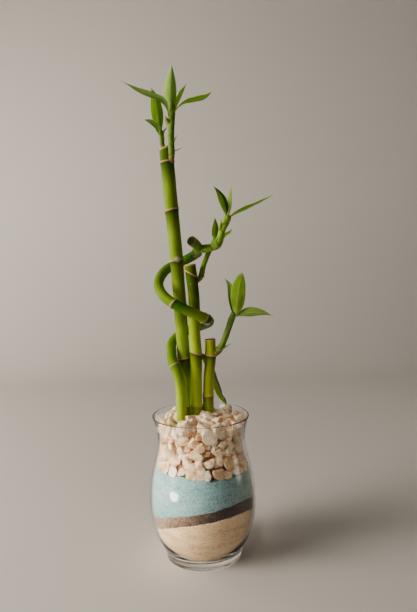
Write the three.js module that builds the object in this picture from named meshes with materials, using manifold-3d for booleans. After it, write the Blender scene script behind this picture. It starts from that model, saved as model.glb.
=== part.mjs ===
// Lucky bamboo in a glass vase: four cut canes with leafy shoots stand in gravel, over three layers of
// coloured sand. Millimetres, +Z up, +Y away from the viewer. The origin is the centre of the vase's foot.
import * as THREE from 'three';
import * as BufferGeometryUtils from 'three/addons/utils/BufferGeometryUtils.js';
import Module from 'manifold-3d';

const wasm = await Module();
wasm.setup();

// Driving dimensions

const CLEARANCE = 0.3;              // between pieces that touch
const AROUND = 32;                  // sides of the vase and of all that fills it

const VASE_HEIGHT = 144;
const VASE_FOOT_RADIUS = 36.4;      // the flat disc that the vase stands on
const VASE_FLOOR = 8;               // thickness of the clear foot
const VASE_LIP_DROP = 0.9;          // how far the lip's two edges lie below its crest
const VASE_OUTSIDE = [              // radius, height: foot, belly, neck, flare
  [37.3, 1.0], [38.2, 6], [41.0, 11.5], [47.4, 23.5], [51.6, 36.5], [54.0, 57], [52.5, 80],
  [48.1, 99], [44.9, 113], [44.2, 122], [46.2, 134.5], [48.9, VASE_HEIGHT - VASE_LIP_DROP],
];
const VASE_INSIDE = [
  [32.0, VASE_FLOOR], [36.2, 10], [38.8, 13.5], [45.0, 24], [49.3, 37], [51.7, 57], [50.2, 80],
  [45.8, 99], [42.6, 113], [41.9, 122], [43.9, 134.5], [46.7, VASE_HEIGHT - VASE_LIP_DROP],
];
const VASE_OUTSIDE_STEPS = 14;
const VASE_INSIDE_STEPS = 13;

const SAND_TILT = {                 // the boundaries are planes: height at the axis, slope along X, along Y
  creamTop: { height: 38.5, alongX: 0.18, alongY: -0.27 },
  blueTop: { height: 93.4, alongX: -0.06, alongY: 0.0 },
};
const BROWN_THICKNESS = { mean: 10.4, right: -1.3, back: 1.7, sides: 2.1 };
const SAND_WAVE = 0.7;              // height of the ripples on a sand layer

const GRAVEL_EDGE_HEIGHT = 139;     // top of the gravel at the glass
const GRAVEL_MOUND = 6.5;           // how much higher it lies round the canes
const GRAVEL_MOUND_RADIUS = 34;
const STONE_SIZE = 12.8;
const STONE_PITCH = 11.6;           // between neighbouring stones
const CORE_DEPTH = 4.2;             // how far the stones stand out of the packed core
const SAND_CLEARANCE = 0.6;         // gravel over the sand, whose flat facets stand a little over its formula
const GLASS_CLEARANCE = 0.5;        // stones inside the glass, whose wall curves in at the neck
const GRAVEL_SEED = 11;

const CANE_FOOT = 97;               // height of the canes' lower ends, deep in the gravel
const NODE_SWELL = 0.45;            // how far a node ring stands out of its cane
const NODE_HALF_WIDTH = 2.2;
const CUT_BEVEL = 0.6;              // rounding of a cane's cut end

const BLADE_THICKNESS = 0.7;

// Small tools for the solids

/** A seeded source of numbers from 0 to 1 (a linear congruential generator). */
function seeded(seed) {
  let state = seed;
  return () => {
    state = (state * 1664525 + 1013904223) % 4294967296;
    return state / 4294967296;
  };
}

/**
 * A closed surface from pole to pole through rings of equally many points. A blade's rings run once over its
 * upper and once over its lower face, and the lower face takes the other diagonal, so that both fold alike.
 */
function skin(rings, { blade = false } = {}) {
  const count = rings[0].length;
  const centre = (ring) => ring.reduce((sum, p) => sum.add(p), new THREE.Vector3()).divideScalar(count);
  const points = [centre(rings[0]), ...rings.flat(), centre(rings[rings.length - 1])];
  const last = points.length - 1;
  const at = (ring, k) => 1 + ring * count + (k % count);
  const faces = [];
  for (let k = 0; k < count; k += 1) {
    faces.push(0, at(0, k + 1), at(0, k));
    faces.push(last, at(rings.length - 1, k), at(rings.length - 1, k + 1));
  }
  for (let ring = 0; ring < rings.length - 1; ring += 1) {
    for (let k = 0; k < count; k += 1) {
      const [a, b] = [at(ring, k), at(ring, k + 1)];
      const [d, c] = [at(ring + 1, k), at(ring + 1, k + 1)];
      if (blade && k >= count / 2) {
        faces.push(a, b, d, b, c, d);
      } else {
        faces.push(a, b, c, a, c, d);
      }
    }
  }
  const geometry = new THREE.BufferGeometry().setFromPoints(points);
  geometry.setIndex(faces);
  return geometry;
}

/** A solid for cutting and joining, from a closed geometry. */
function solid(geometry) {
  const bare = geometry.clone();
  bare.deleteAttribute('normal');
  bare.deleteAttribute('uv');
  const merged = BufferGeometryUtils.mergeVertices(bare, 1e-4);
  return new wasm.Manifold(new wasm.Mesh({
    numProp: 3,
    vertProperties: new Float32Array(merged.attributes.position.array),
    triVerts: new Uint32Array(merged.index.array),
  }));
}

/** The geometry of a solid's largest body, so that no loose scrap of a cut stays. */
function geometryOf(body) {
  const largest = body.decompose().reduce((best, next) => (next.volume() > best.volume() ? next : best));
  const mesh = largest.getMesh();
  const geometry = new THREE.BufferGeometry();
  geometry.setAttribute('position', new THREE.BufferAttribute(new Float32Array(mesh.vertProperties), 3));
  geometry.setIndex(Array.from(mesh.triVerts));
  return geometry;
}

const vectors = (list) => list.map(([x, y, z]) => new THREE.Vector3(x, y, z));

/** Stations along a curve: point, direction and distance from its start, at the given distances. */
function stations(points, distances) {
  const curve = new THREE.CatmullRomCurve3(vectors(points), false, 'centripetal');
  curve.arcLengthDivisions = 400;
  const length = curve.getLength();
  return distances(length).map((distance) => {
    const share = Math.min(1, distance / length);
    return { distance, share, point: curve.getPointAt(share), direction: curve.getTangentAt(share) };
  });
}

/** A round tube: a ring of points square to the path at each station, carried along without twist. */
function tubeRings(path, sides, radiusAt) {
  let across = new THREE.Vector3(1, 0, 0);
  return path.map(({ point, direction, distance }) => {
    across = across.clone().addScaledVector(direction, -across.dot(direction)).normalize();
    const other = new THREE.Vector3().crossVectors(direction, across);
    const radius = radiusAt(distance);
    return Array.from({ length: sides }, (_, k) => {
      const angle = (2 * Math.PI * k) / sides;
      return point.clone()
        .addScaledVector(across, radius * Math.cos(angle))
        .addScaledVector(other, radius * Math.sin(angle));
    });
  });
}

// The glass vase: one turned wall, with a thick clear foot

/** Points along a smooth line through the given (radius, height) pairs. */
function smoothProfile(pairs, steps) {
  const curve = new THREE.SplineCurve(pairs.map(([radius, height]) => new THREE.Vector2(radius, height)));
  return curve.getSpacedPoints(steps);
}

const insideProfile = smoothProfile(VASE_INSIDE, VASE_INSIDE_STEPS);

/** Radius of the vase's inner wall at a height, along the same straight steps as the glass itself. */
function insideRadius(height) {
  for (let k = 1; k < insideProfile.length; k += 1) {
    const low = insideProfile[k - 1];
    const high = insideProfile[k];
    if (height <= high.y) {
      const share = Math.max(0, (height - low.y) / (high.y - low.y));
      return low.x + share * (high.x - low.x);
    }
  }
  return insideProfile[insideProfile.length - 1].x;
}

function vaseGeometry() {
  const lipRadius = (VASE_OUTSIDE.at(-1)[0] + VASE_INSIDE.at(-1)[0]) / 2;
  const profile = [
    new THREE.Vector2(0, 0),
    new THREE.Vector2(VASE_FOOT_RADIUS, 0),
    ...smoothProfile(VASE_OUTSIDE, VASE_OUTSIDE_STEPS),
    new THREE.Vector2(lipRadius, VASE_HEIGHT),
    ...insideProfile.toReversed(),
    new THREE.Vector2(0, VASE_FLOOR),
  ];
  return new THREE.LatheGeometry(profile, AROUND).rotateX(Math.PI / 2);
}

// The sand: three layers that follow the inside of the glass, with tilted and slightly rippled boundaries

const ripple = (x, y) => SAND_WAVE * Math.sin(x / 11 + 0.6) * Math.cos(y / 14 - 0.4);

function creamTop(x, y) {
  const tilt = SAND_TILT.creamTop;
  return tilt.height + tilt.alongX * x + tilt.alongY * y + ripple(x, y);
}

/** The brown layer is thin at the front and thicker at the sides. */
function brownTop(x, y) {
  const angle = Math.atan2(y, x);
  const outward = Math.min(1, Math.hypot(x, y) / 50);
  const varied = BROWN_THICKNESS.right * Math.cos(angle) + BROWN_THICKNESS.back * Math.sin(angle)
    + BROWN_THICKNESS.sides * Math.cos(2 * angle);
  return creamTop(x, y) + BROWN_THICKNESS.mean + outward * varied;
}

function blueTop(x, y) {
  const tilt = SAND_TILT.blueTop;
  return tilt.height + tilt.alongX * x + tilt.alongY * y + ripple(y, x);
}

/**
 * A filling between two surfaces: rings out over the lower surface, up the glass in the given number of steps,
 * and in over the upper surface.
 */
function fillingGeometry({ lower, upper, flats, rises, inset = CLEARANCE }) {
  const ring = (place) => Array.from({ length: AROUND }, (_, k) => place((2 * Math.PI * k) / AROUND));
  const onGlass = (angle, share) => {
    let radius = insideRadius(60) - inset;
    let height = 0;
    for (let pass = 0; pass < 12; pass += 1) {
      const x = radius * Math.cos(angle);
      const y = radius * Math.sin(angle);
      height = THREE.MathUtils.lerp(lower(x, y), upper(x, y), share);
      radius = insideRadius(height) - inset;
    }
    return new THREE.Vector3(radius * Math.cos(angle), radius * Math.sin(angle), height);
  };
  const onSurface = (surface, angle, share, edge) => {
    const rim = onGlass(angle, edge);
    const x = rim.x * share;
    const y = rim.y * share;
    return new THREE.Vector3(x, y, surface(x, y));
  };
  const rings = [];
  for (const share of flats) {
    rings.push(ring((angle) => onSurface(lower, angle, share, 0)));
  }
  for (let step = 0; step <= rises; step += 1) {
    rings.push(ring((angle) => onGlass(angle, step / rises)));
  }
  for (const share of flats.toReversed()) {
    rings.push(ring((angle) => onSurface(upper, angle, share, 1)));
  }
  return skin(rings);
}

const FLATS = [0.35, 0.7];
const above = (surface) => (x, y) => surface(x, y) + CLEARANCE;

const creamGeometry = fillingGeometry({
  lower: () => VASE_FLOOR + CLEARANCE,
  upper: creamTop,
  flats: FLATS,
  rises: 6,
});
const brownGeometry = fillingGeometry({ lower: above(creamTop), upper: brownTop, flats: FLATS, rises: 2 });
const blueGeometry = fillingGeometry({ lower: above(brownTop), upper: blueTop, flats: FLATS, rises: 5 });

// The canes: straight stems with ringed nodes, and one grown in a curl

/** Radius along a cane: nominal radii eased between its ends, a swelling at each node, a bevel at each cut. */
function caneRadius({ radii, nodes }, length, grow) {
  return (distance) => {
    const share = distance / length;
    const nominal = THREE.MathUtils.lerp(radii[0], radii[1], share);
    const swell = nodes.reduce((sum, node) => {
      const off = Math.abs(distance - node) / NODE_HALF_WIDTH;
      return sum + (off < 1 ? NODE_SWELL * (1 - off) : 0);
    }, 0);
    const atCut = Math.max(0, 1 - (length - distance) / CUT_BEVEL) + Math.max(0, 1 - distance / CUT_BEVEL);
    return nominal + swell - CUT_BEVEL * atCut + grow;
  };
}

function caneGeometry(cane, grow = 0) {
  const curve = new THREE.CatmullRomCurve3(vectors(cane.line), false, 'centripetal');
  curve.arcLengthDivisions = 400;
  const length = curve.getLength();
  const steps = Math.round(length / cane.step);
  const even = Array.from({ length: steps + 1 }, (_, k) => (k * length) / steps);
  const around = cane.nodes.flatMap((node) => [node - NODE_HALF_WIDTH, node, node + NODE_HALF_WIDTH]);
  const ends = [0, CUT_BEVEL, length - CUT_BEVEL, length];
  const exact = [...ends, ...around].filter((distance) => distance >= 0 && distance <= length);
  const plain = even.filter((distance) => exact.every((other) => Math.abs(other - distance) > 2));
  const distances = [...exact, ...plain].sort((a, b) => a - b);
  const path = stations(cane.line, () => distances);
  return skin(tubeRings(path, cane.sides, caneRadius(cane, length, grow)));
}

const tallCane = {
  line: [[-12.6, 5.5, CANE_FOOT], [-13.9, 4.5, 150], [-16.5, 3.5, 220], [-20.3, 3.5, 303], [-24.3, 4.5, 361],
    [-27.4, 5, 409]],
  radii: [6.1, 6.7],
  nodes: [56, 105, 154, 204, 254, 302],
  step: 26,
  sides: 12,
};

const middleCane = {
  line: [[-4, -4.5, CANE_FOOT], [-4.2, -4, 150], [-3, -4, 203], [-3.9, -4, 232], [-3.6, -4, 262], [-6.4, -4, 296]],
  radii: [6.1, 5.7],
  nodes: [58, 111, 149, 185],
  step: 26,
  sides: 12,
};

const shortCane = {
  line: [[7.6, 0, CANE_FOOT], [7.8, 0, 150], [9.2, 0, 182], [11.4, 0, 202], [11.5, 0, 220.5]],
  radii: [4.9, 5.0],
  nodes: [67, 108],
  step: 22,
  sides: 12,
};

/**
 * The curly cane's centre line: upright from its foot, then a helix about the curl's axis, given as angle in
 * degrees from +X, radius and height at each turning point, with smooth steps between them.
 */
const CURL_AXIS = { x: -13.6, y: -0.5 };
const CURL_FOOT = [[-18, -13, CANE_FOOT], [-18.4, -13, 125], [-18.6, -13, 150], [-19.2, -12.5, 178]];
const CURL_TURNS = [
  [-125, 14.4, 191], [-158, 14.2, 201], [-180, 14.2, 209], [-200, 15.7, 213.5], [-225, 17.7, 219],
  [-262, 20, 226], [-310, 22, 232.5], [-360, 24.4, 238.5], [-405, 25, 244.8], [-450, 25, 254],
  [-495, 25, 265], [-540, 25, 278.3], [-585, 25, 292], [-630, 24.4, 300.5], [-665, 20.8, 306.6],
  [-700, 16.2, 311.2], [-735, 14.3, 315.2], [-775, 16.6, 318.8],
];
const curlLine = [
  ...CURL_FOOT,
  ...CURL_TURNS.map(([angle, radius, height]) => [
    CURL_AXIS.x + radius * Math.cos(THREE.MathUtils.degToRad(angle)),
    CURL_AXIS.y + radius * Math.sin(THREE.MathUtils.degToRad(angle)),
    height,
  ]),
];

const curlyCane = {
  line: curlLine,
  radii: [5.1, 4.7],
  nodes: [101, 201, 240, 286, 341],
  step: 8.5,
  sides: 10,
};

// The leafy shoots: a stem wrapped in leaf sheaths, with small dry bracts fused to it

/** A shoot's stem: round, eased from its lowest radius to its highest. */
function stemGeometry(stem, grow = 0) {
  const path = stations(stem.line, (length) => {
    const steps = Math.max(4, Math.round(length / 6));
    return Array.from({ length: steps + 1 }, (_, k) => (k * length) / steps);
  });
  const length = path[path.length - 1].distance;
  const radiusAt = (distance) => {
    const place = (distance / length) * (stem.radii.length - 1);
    const below = Math.min(stem.radii.length - 2, Math.floor(place));
    return THREE.MathUtils.lerp(stem.radii[below], stem.radii[below + 1], place - below) + grow;
  };
  return skin(tubeRings(path, 8, radiusAt));
}

/** Share of a blade's full width along its length: narrow clasp, widest before the middle, drawn-out tip. */
function bladeShape(share, widest, taper) {
  const body = (share / widest) ** (widest * taper) * ((1 - share) / (1 - widest)) ** ((1 - widest) * taper);
  const clasp = 0.42 * (1 - share) ** 6;
  return Math.max(body, clasp, 0.06);
}

/**
 * A leaf's blade: a folded strip along its line. The facing vector is the side that its upper face looks to, at
 * the base and at the tip. The fold is the height of the two edges above the midrib, as a share of half the width.
 */
function bladeGeometry({ line, width, facing, fold = 0.35, widest = 0.42, taper = 2, steps = 8 }, grow = 0) {
  const path = stations(line, (length) => Array.from({ length: steps + 1 }, (_, k) => (k * length) / steps));
  const [faceBase, faceTip] = vectors(facing);
  const half = BLADE_THICKNESS / 2 + grow;
  const rings = path.map(({ point, direction, share }) => {
    const face = faceBase.clone().lerp(faceTip, share);
    face.addScaledVector(direction, -face.dot(direction)).normalize();
    const side = new THREE.Vector3().crossVectors(face, direction);
    const reach = (width / 2) * bladeShape(share, widest, taper) + grow;
    const lift = fold * (reach - grow);
    const corner = (out, up) => point.clone().addScaledVector(side, out).addScaledVector(face, up);
    return [
      corner(reach, lift + half), corner(0, half), corner(-reach, lift + half),
      corner(-reach, lift - half), corner(0, -half), corner(reach, lift - half),
    ];
  });
  return skin(rings, { blade: true });
}

const shoots = {
  shoot_tall_main: {
    line: [[-22.6, 1.5, 397], [-21.9, -1.6, 403], [-21.6, -2.6, 412], [-21.8, -1, 422], [-21.3, 0, 433], [-20.3, 1, 446],
      [-19.9, 2, 454]],
    radii: [2.4, 3.0, 2.9, 2.8, 2.9, 3.3, 2.6],
    bracts: [
      { line: [[-22, -1, 431], [-25.2, -3.5, 436], [-27.3, -6, 441]], width: 5, facing: [[0, 1, 1], [0, 1, 1]] },
      { line: [[-21, -1, 411], [-18.4, -3, 417], [-15.8, -4, 422.5]], width: 3, facing: [[-1, 0, 1], [-1, 0, 1]] },
    ],
  },
  shoot_tall_side: {
    line: [[-29.4, 8, 399], [-30.4, 12.6, 404], [-31.2, 13.6, 412], [-32, 13.4, 421], [-32.8, 13, 432]],
    radii: [2.2, 2.6, 2.4, 2.3, 1.9],
    bracts: [],
  },
  shoot_curly: {
    line: [[1.4, 2, 311], [4.8, 1.4, 311.6], [9.7, 0, 311.7], [15.6, -1, 312.8], [20.6, -2, 315.8], [23.8, -2, 321.1],
      [25.6, -2, 327.5], [29.1, -2, 336.2], [33.2, -2, 343.5]],
    radii: [3.2, 3.6, 3.7, 3.8, 4.4, 3.8, 3.0, 3.2, 2.6],
    bracts: [
      { line: [[23.6, -3, 324], [24.4, -5.5, 332], [25.5, -7, 340.2]], width: 3, facing: [[0, 1, 0], [0, 1, 0]] },
    ],
  },
  shoot_middle: {
    line: [[-0.6, -3, 279.4], [3.4, -1, 283.4], [6.1, 4, 292.4], [8.8, 9, 300.4], [12.1, 13, 308.5], [14.8, 14, 315.6],
      [17, 13.5, 322.6]],
    radii: [2.4, 2.8, 2.6, 2.5, 2.5, 2.5, 2.1],
    bracts: [
      { line: [[1.5, -2, 280.5], [5, -3.2, 282.6], [8.3, -4, 284]], width: 3.6, facing: [[-1, 0, 1], [-1, 0, 1]] },
    ],
  },
  shoot_short: {
    line: [[13.6, 0, 205.6], [18.6, -1, 208.6], [22.7, -2, 213.9], [26.4, -2, 221.9], [30.2, -2, 231.8], [33.7, -2, 241.6],
      [36, -2, 247.4]],
    radii: [3.6, 3.6, 3.1, 3.1, 3.1, 3.3, 2.8],
    bracts: [
      { line: [[21.5, -3, 209], [27, -5, 213], [32.1, -6, 216.7]], width: 4.5, facing: [[-1, 0, 1], [-1, 0, 1]] },
    ],
  },
};

const leaves = {
  leaf_tall_upright: {
    line: [[-21.2, 1.5, 446], [-21.4, 0.6, 459], [-21.1, 0, 472], [-19.9, -1, 481.8], [-19, -2, 491.5]],
    width: 13, facing: [[0.35, -1, 0], [0.35, -1, 0]], fold: 0.45, widest: 0.42, taper: 2.3,
  },
  leaf_tall_left: {
    line: [[-22.9, -0.8, 441.5], [-25, -3.4, 450.5], [-29.6, -6, 456], [-39.5, -9, 459.8], [-51.5, -12, 463.8],
      [-67.6, -16, 471.9]],
    width: 12.5, facing: [[0.5, -0.8, 0.7], [0, -1, 0.5]], widest: 0.46, taper: 3.2, steps: 10,
  },
  leaf_tall_inner_right: {
    line: [[-17.6, 3.8, 448.5], [-14.4, 7, 456.3], [-11.4, 9, 463.6], [-8.7, 10, 470.2], [-5.5, 11, 475.8]],
    width: 9, facing: [[-0.9, -0.7, 0.3], [-0.9, -0.7, 0.3]],
  },
  leaf_tall_outer_right: {
    line: [[-17.8, -0.6, 445.7], [-13.6, -2, 450.7], [-7.1, -4, 454.3], [2.7, -7, 455.6], [13.4, -10, 457.4],
      [19.4, -12, 461.1]],
    width: 9, facing: [[-0.5, -0.6, 0.8], [0, -1, 0.45]], widest: 0.55, taper: 3, steps: 10,
  },
  leaf_side_upright: {
    line: [[-33, 12.2, 430], [-34.7, 11.6, 440], [-36.3, 11, 451.1], [-37.9, 11, 462.9], [-41.1, 11, 473]],
    width: 12, facing: [[-0.2, -1, 0], [-0.2, -1, 0]], fold: 0.3, widest: 0.46,
  },
  leaf_side_left: {
    line: [[-34.2, 11.5, 427], [-36, 9, 433], [-40.6, 7, 437.2], [-48, 5, 440.3]],
    width: 8.5, facing: [[0.3, -0.9, 0.6], [0.2, -1, 0.5]], widest: 0.5, steps: 7,
  },
  leaf_side_right: {
    line: [[-29.6, 13, 421.5], [-29.6, 12, 428.6], [-26, 11, 434.4]],
    width: 5, facing: [[-1, -0.4, 0.4], [-1, -0.4, 0.4]], steps: 6,
  },
  leaf_curly_left: {
    line: [[30.6, -3.8, 341], [29.9, -4.6, 350.7], [27.4, -5.4, 358.9], [22.8, -6, 366.7], [18, -7, 372.2]],
    width: 10.5, facing: [[0.3, -1, 0.2], [-0.3, -1, 0.2]], widest: 0.44, taper: 2.5,
  },
  leaf_curly_upright: {
    line: [[33, -1.4, 343.5], [34.3, -2, 353.6], [35.3, -3, 362.2], [36.3, -4, 372]],
    width: 5.6, facing: [[-1, -0.9, 0], [-1, -0.9, 0]], fold: 0.3,
  },
  leaf_curly_right: {
    line: [[34.6, -2.6, 342], [42.2, -3.4, 347.6], [52, -5, 352], [63.6, -8, 356.7], [76.2, -12, 361.3]],
    width: 8.5, facing: [[-0.5, -0.6, 0.9], [-0.4, -0.45, 1]], fold: 0.25, widest: 0.36, steps: 10,
  },
  leaf_curly_low: {
    line: [[25.6, -4.6, 318.5], [29.7, -6, 323.7], [34.1, -8, 326.8], [35.6, -9, 330.4]],
    width: 6, facing: [[-0.6, -0.6, 1], [-1, -0.6, 0.4]], steps: 6,
  },
  leaf_middle_tip: {
    line: [[17.2, 13, 320], [18.7, 12.6, 328.6], [19.3, 11.6, 335.6], [19.2, 10, 343.5]],
    width: 7.5, facing: [[0.5, -1, 0], [0.5, -1, 0]], fold: 0.5, steps: 7,
  },
  leaf_short_upright: {
    line: [[38, -3.6, 245], [39.5, -5.4, 256.8], [40.4, -7, 267.8], [42, -8, 277.7], [44.5, -8, 287]],
    width: 15, facing: [[0.2, -1, 0.1], [0.2, -1, 0.1]], fold: 0.4, widest: 0.46,
  },
  leaf_short_left: {
    line: [[34.8, 1.2, 245.6], [35.2, 3, 256.5], [34.6, 4.6, 265.5], [32.4, 5.6, 274.6], [27.6, 6.2, 281.8]],
    width: 6.6, facing: [[0.7, -1, 0], [-0.5, -1, 0.3]], fold: 0.4,
  },
  leaf_short_right: {
    line: [[38.4, -1.6, 243.6], [46.9, -3.4, 246], [55.8, -4.6, 247], [64.5, -5.6, 246.4], [74.4, -7, 243.2]],
    width: 10.5, facing: [[-0.3, -0.8, 0.9], [0, -1, 0.5]], fold: 0.3, widest: 0.36, steps: 10,
  },
  leaf_hanging: {
    line: [[0.2, -0.4, 207.8], [6.6, 5.8, 202], [13.8, 18, 183.1], [17.3, 30, 167.9], [21.4, 42, 152.5], [24.6, 50.5, 147],
      [27, 55.5, 132]],
    width: 9.4, facing: [[0.7, -1, 0.4], [0.7, -1, 0.4]], fold: 0.5, widest: 0.6, steps: 10,
  },
};

// The gravel: crushed stones packed against the glass and heaped round the canes, fused to a packed core

/** A crushed stone: a block with its eight corners pushed about, turned at random. */
function stoneGeometry(random, size) {
  const block = new THREE.BoxGeometry(1, 1, 1);
  block.deleteAttribute('normal');
  block.deleteAttribute('uv');
  const stone = BufferGeometryUtils.mergeVertices(block, 1e-4);
  const corner = stone.attributes.position;
  for (let k = 0; k < corner.count; k += 1) {
    const pushed = [corner.getX(k), corner.getY(k), corner.getZ(k)].map((part) => part * (0.8 + 0.35 * random()));
    corner.setXYZ(k, ...pushed);
  }
  stone.scale(size * (0.7 + 0.25 * random()), size * (0.65 + 0.2 * random()), size * (0.6 + 0.2 * random()));
  stone.rotateX(2 * Math.PI * random());
  stone.rotateY(2 * Math.PI * random());
  stone.rotateZ(2 * Math.PI * random());
  return stone;
}

/** Height of the gravel: level at the glass, higher round the canes. */
function gravelTop(x, y) {
  const out = Math.min(1, Math.hypot(x + 2, y) / GRAVEL_MOUND_RADIUS);
  return GRAVEL_EDGE_HEIGHT + GRAVEL_MOUND * (1 - out * out);
}

const FLAT_OF_SIDE = Math.cos(Math.PI / AROUND);   // a side's middle lies this much nearer to the axis

/**
 * Moves a stone along its radius until its corners, and the points halfway between them, clear the glass. A stone
 * at the glass is moved out to it, and any other is only moved in where it is in the way.
 */
function keepInGlass(stone, angle, atGlass) {
  const corner = stone.attributes.position;
  const corners = Array.from({ length: corner.count }, (_, k) => new THREE.Vector3().fromBufferAttribute(corner, k));
  for (let pass = 0; pass < 4; pass += 1) {
    const tested = corners.flatMap((one) => corners.map((other) => one.clone().lerp(other, 0.5)));
    const room = Math.min(...tested.map(({ x, y, z }) => (
      insideRadius(z) * FLAT_OF_SIDE - GLASS_CLEARANCE - Math.hypot(x, y)
    )));
    const move = atGlass ? room : Math.min(0, room);
    const step = new THREE.Vector3(move * Math.cos(angle), move * Math.sin(angle), 0);
    stone.translate(step.x, step.y, step.z);
    corners.forEach((one) => one.add(step));
  }
}

/** Lifts a stone until its lowest corner just clears the sand. */
function restOnSand(stone) {
  const corner = stone.attributes.position;
  let lift = 0;
  for (let k = 0; k < corner.count; k += 1) {
    const sand = blueTop(corner.getX(k), corner.getY(k)) + SAND_CLEARANCE;
    lift = Math.max(lift, sand - corner.getZ(k));
  }
  stone.translate(0, 0, lift);
}

function gravelStones() {
  const random = seeded(GRAVEL_SEED);
  const stones = [];
  const firstRow = blueTop(0, 0) + STONE_SIZE / 2;
  for (let row = 0; firstRow + row * STONE_PITCH < GRAVEL_EDGE_HEIGHT; row += 1) {
    const height = firstRow + row * STONE_PITCH;
    const radius = insideRadius(height) - STONE_SIZE / 2;
    const count = Math.round((2 * Math.PI * radius) / STONE_PITCH);
    for (let k = 0; k < count; k += 1) {
      const angle = (2 * Math.PI * (k + 0.5 * (row % 2) + 0.35 * (random() - 0.5))) / count;
      const stone = stoneGeometry(random, STONE_SIZE);
      stone.translate(radius * Math.cos(angle), radius * Math.sin(angle), height + 2.4 * (random() - 0.5));
      restOnSand(stone);
      keepInGlass(stone, angle, true);
      stones.push(stone);
    }
  }
  for (let ring = 0; ring * STONE_PITCH < 36; ring += 1) {
    const radius = ring * STONE_PITCH;
    const count = Math.max(1, Math.round((2 * Math.PI * radius) / STONE_PITCH));
    for (let k = 0; k < count; k += 1) {
      const angle = (2 * Math.PI * (k + 0.5 * (ring % 2) + 0.3 * random())) / count;
      const x = radius * Math.cos(angle);
      const y = radius * Math.sin(angle);
      const stone = stoneGeometry(random, STONE_SIZE);
      stone.translate(x, y, gravelTop(x, y) - STONE_SIZE / 2 + 2.6 * random());
      keepInGlass(stone, angle, false);
      stones.push(stone);
    }
  }
  return stones;
}

const coreGeometry = fillingGeometry({
  lower: (x, y) => blueTop(x, y) + SAND_CLEARANCE,
  upper: (x, y) => gravelTop(x, y) - CORE_DEPTH - 1.5,
  flats: [0.5],
  rises: 3,
  inset: CLEARANCE + CORE_DEPTH,
});

// Putting it together: each piece is trimmed clear of those that were placed before it

const COLOURS = {
  glass: { color: '#dfe8e6', roughness: 0.05, opacity: 0.25, transparent: true },
  creamSand: { color: '#cfae8a', roughness: 0.95 },
  brownSand: { color: '#6f4f44', roughness: 0.95 },
  blueSand: { color: '#93b2b0', roughness: 0.95 },
  stone: { color: '#ead9c4', roughness: 0.85 },
  cane: { color: '#7c9a35', roughness: 0.45 },
  shoot: { color: '#8aa845', roughness: 0.5 },
  leaf: { color: '#5c8526', roughness: 0.5 },
};

const plant = new THREE.Group();

/** Adds one named piece with its own material. */
function place(name, geometry, colour) {
  geometry.computeVertexNormals();
  const mesh = new THREE.Mesh(geometry, new THREE.MeshStandardMaterial({ metalness: 0, ...COLOURS[colour] }));
  mesh.name = name;
  plant.add(mesh);
}

place('vase', vaseGeometry(), 'glass');
place('sand_cream', creamGeometry, 'creamSand');
place('sand_brown', brownGeometry, 'brownSand');
place('sand_blue', blueGeometry, 'blueSand');

const canes = {
  cane_tall: tallCane,
  cane_middle: middleCane,
  cane_short: shortCane,
  cane_curly: curlyCane,
};
const grownCanes = Object.values(canes).map((cane) => solid(caneGeometry(cane, CLEARANCE)));

const packedStones = wasm.Manifold.union([solid(coreGeometry), ...gravelStones().map(solid)]);
place('gravel', geometryOf(packedStones.subtract(wasm.Manifold.union(grownCanes))), 'stone');

for (const [name, cane] of Object.entries(canes)) {
  place(name, caneGeometry(cane), 'cane');
}

const taken = [...grownCanes];

for (const [name, shoot] of Object.entries(shoots)) {
  const fused = wasm.Manifold.union([
    solid(stemGeometry(shoot)),
    ...shoot.bracts.map((bract) => solid(bladeGeometry({ ...bract, steps: 5 }))),
  ]);
  place(name, geometryOf(fused.subtract(wasm.Manifold.union(taken))), 'shoot');
  taken.push(solid(stemGeometry(shoot, CLEARANCE)));
  for (const bract of shoot.bracts) {
    taken.push(solid(bladeGeometry({ ...bract, steps: 5 }, CLEARANCE)));
  }
}

for (const [name, leaf] of Object.entries(leaves)) {
  place(name, geometryOf(solid(bladeGeometry(leaf)).subtract(wasm.Manifold.union(taken))), 'leaf');
  taken.push(solid(bladeGeometry(leaf, CLEARANCE)));
}

export default plant;
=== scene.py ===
"""Lucky bamboo in a glass vase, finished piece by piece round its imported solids.

Lengths are written in millimetres and scaled to metres by MM. +Z is up and +Y is away from the viewer.
"""
import math
from functools import partial

import bmesh
import bpy
import numpy as np
from mathutils import Matrix, Vector


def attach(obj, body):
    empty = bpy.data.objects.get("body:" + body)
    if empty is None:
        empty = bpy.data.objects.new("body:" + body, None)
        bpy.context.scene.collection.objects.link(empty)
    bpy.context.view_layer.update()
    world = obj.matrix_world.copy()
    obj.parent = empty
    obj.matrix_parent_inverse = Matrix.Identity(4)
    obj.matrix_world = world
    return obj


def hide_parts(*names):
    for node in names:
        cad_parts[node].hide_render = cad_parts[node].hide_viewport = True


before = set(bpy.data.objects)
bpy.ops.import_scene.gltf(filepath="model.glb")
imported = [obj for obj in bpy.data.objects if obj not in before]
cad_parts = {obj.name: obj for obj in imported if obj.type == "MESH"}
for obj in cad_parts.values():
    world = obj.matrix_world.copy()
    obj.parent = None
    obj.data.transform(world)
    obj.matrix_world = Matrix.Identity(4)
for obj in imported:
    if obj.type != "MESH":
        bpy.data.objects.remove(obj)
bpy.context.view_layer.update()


# The camera stands level with the curl, a little over half a metre in front, and tips down and rolls
# slightly, as the photograph's did. Its frame is 417 by 612.
MM = 0.001
FRAME_HEIGHT = 612
FOCAL_PIXELS = 560
SENSOR = 36
EYE = np.array([10.7, -560.0, 289.5]) * MM
PITCH = math.radians(3.6)
ROLL = math.radians(1.45)

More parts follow.
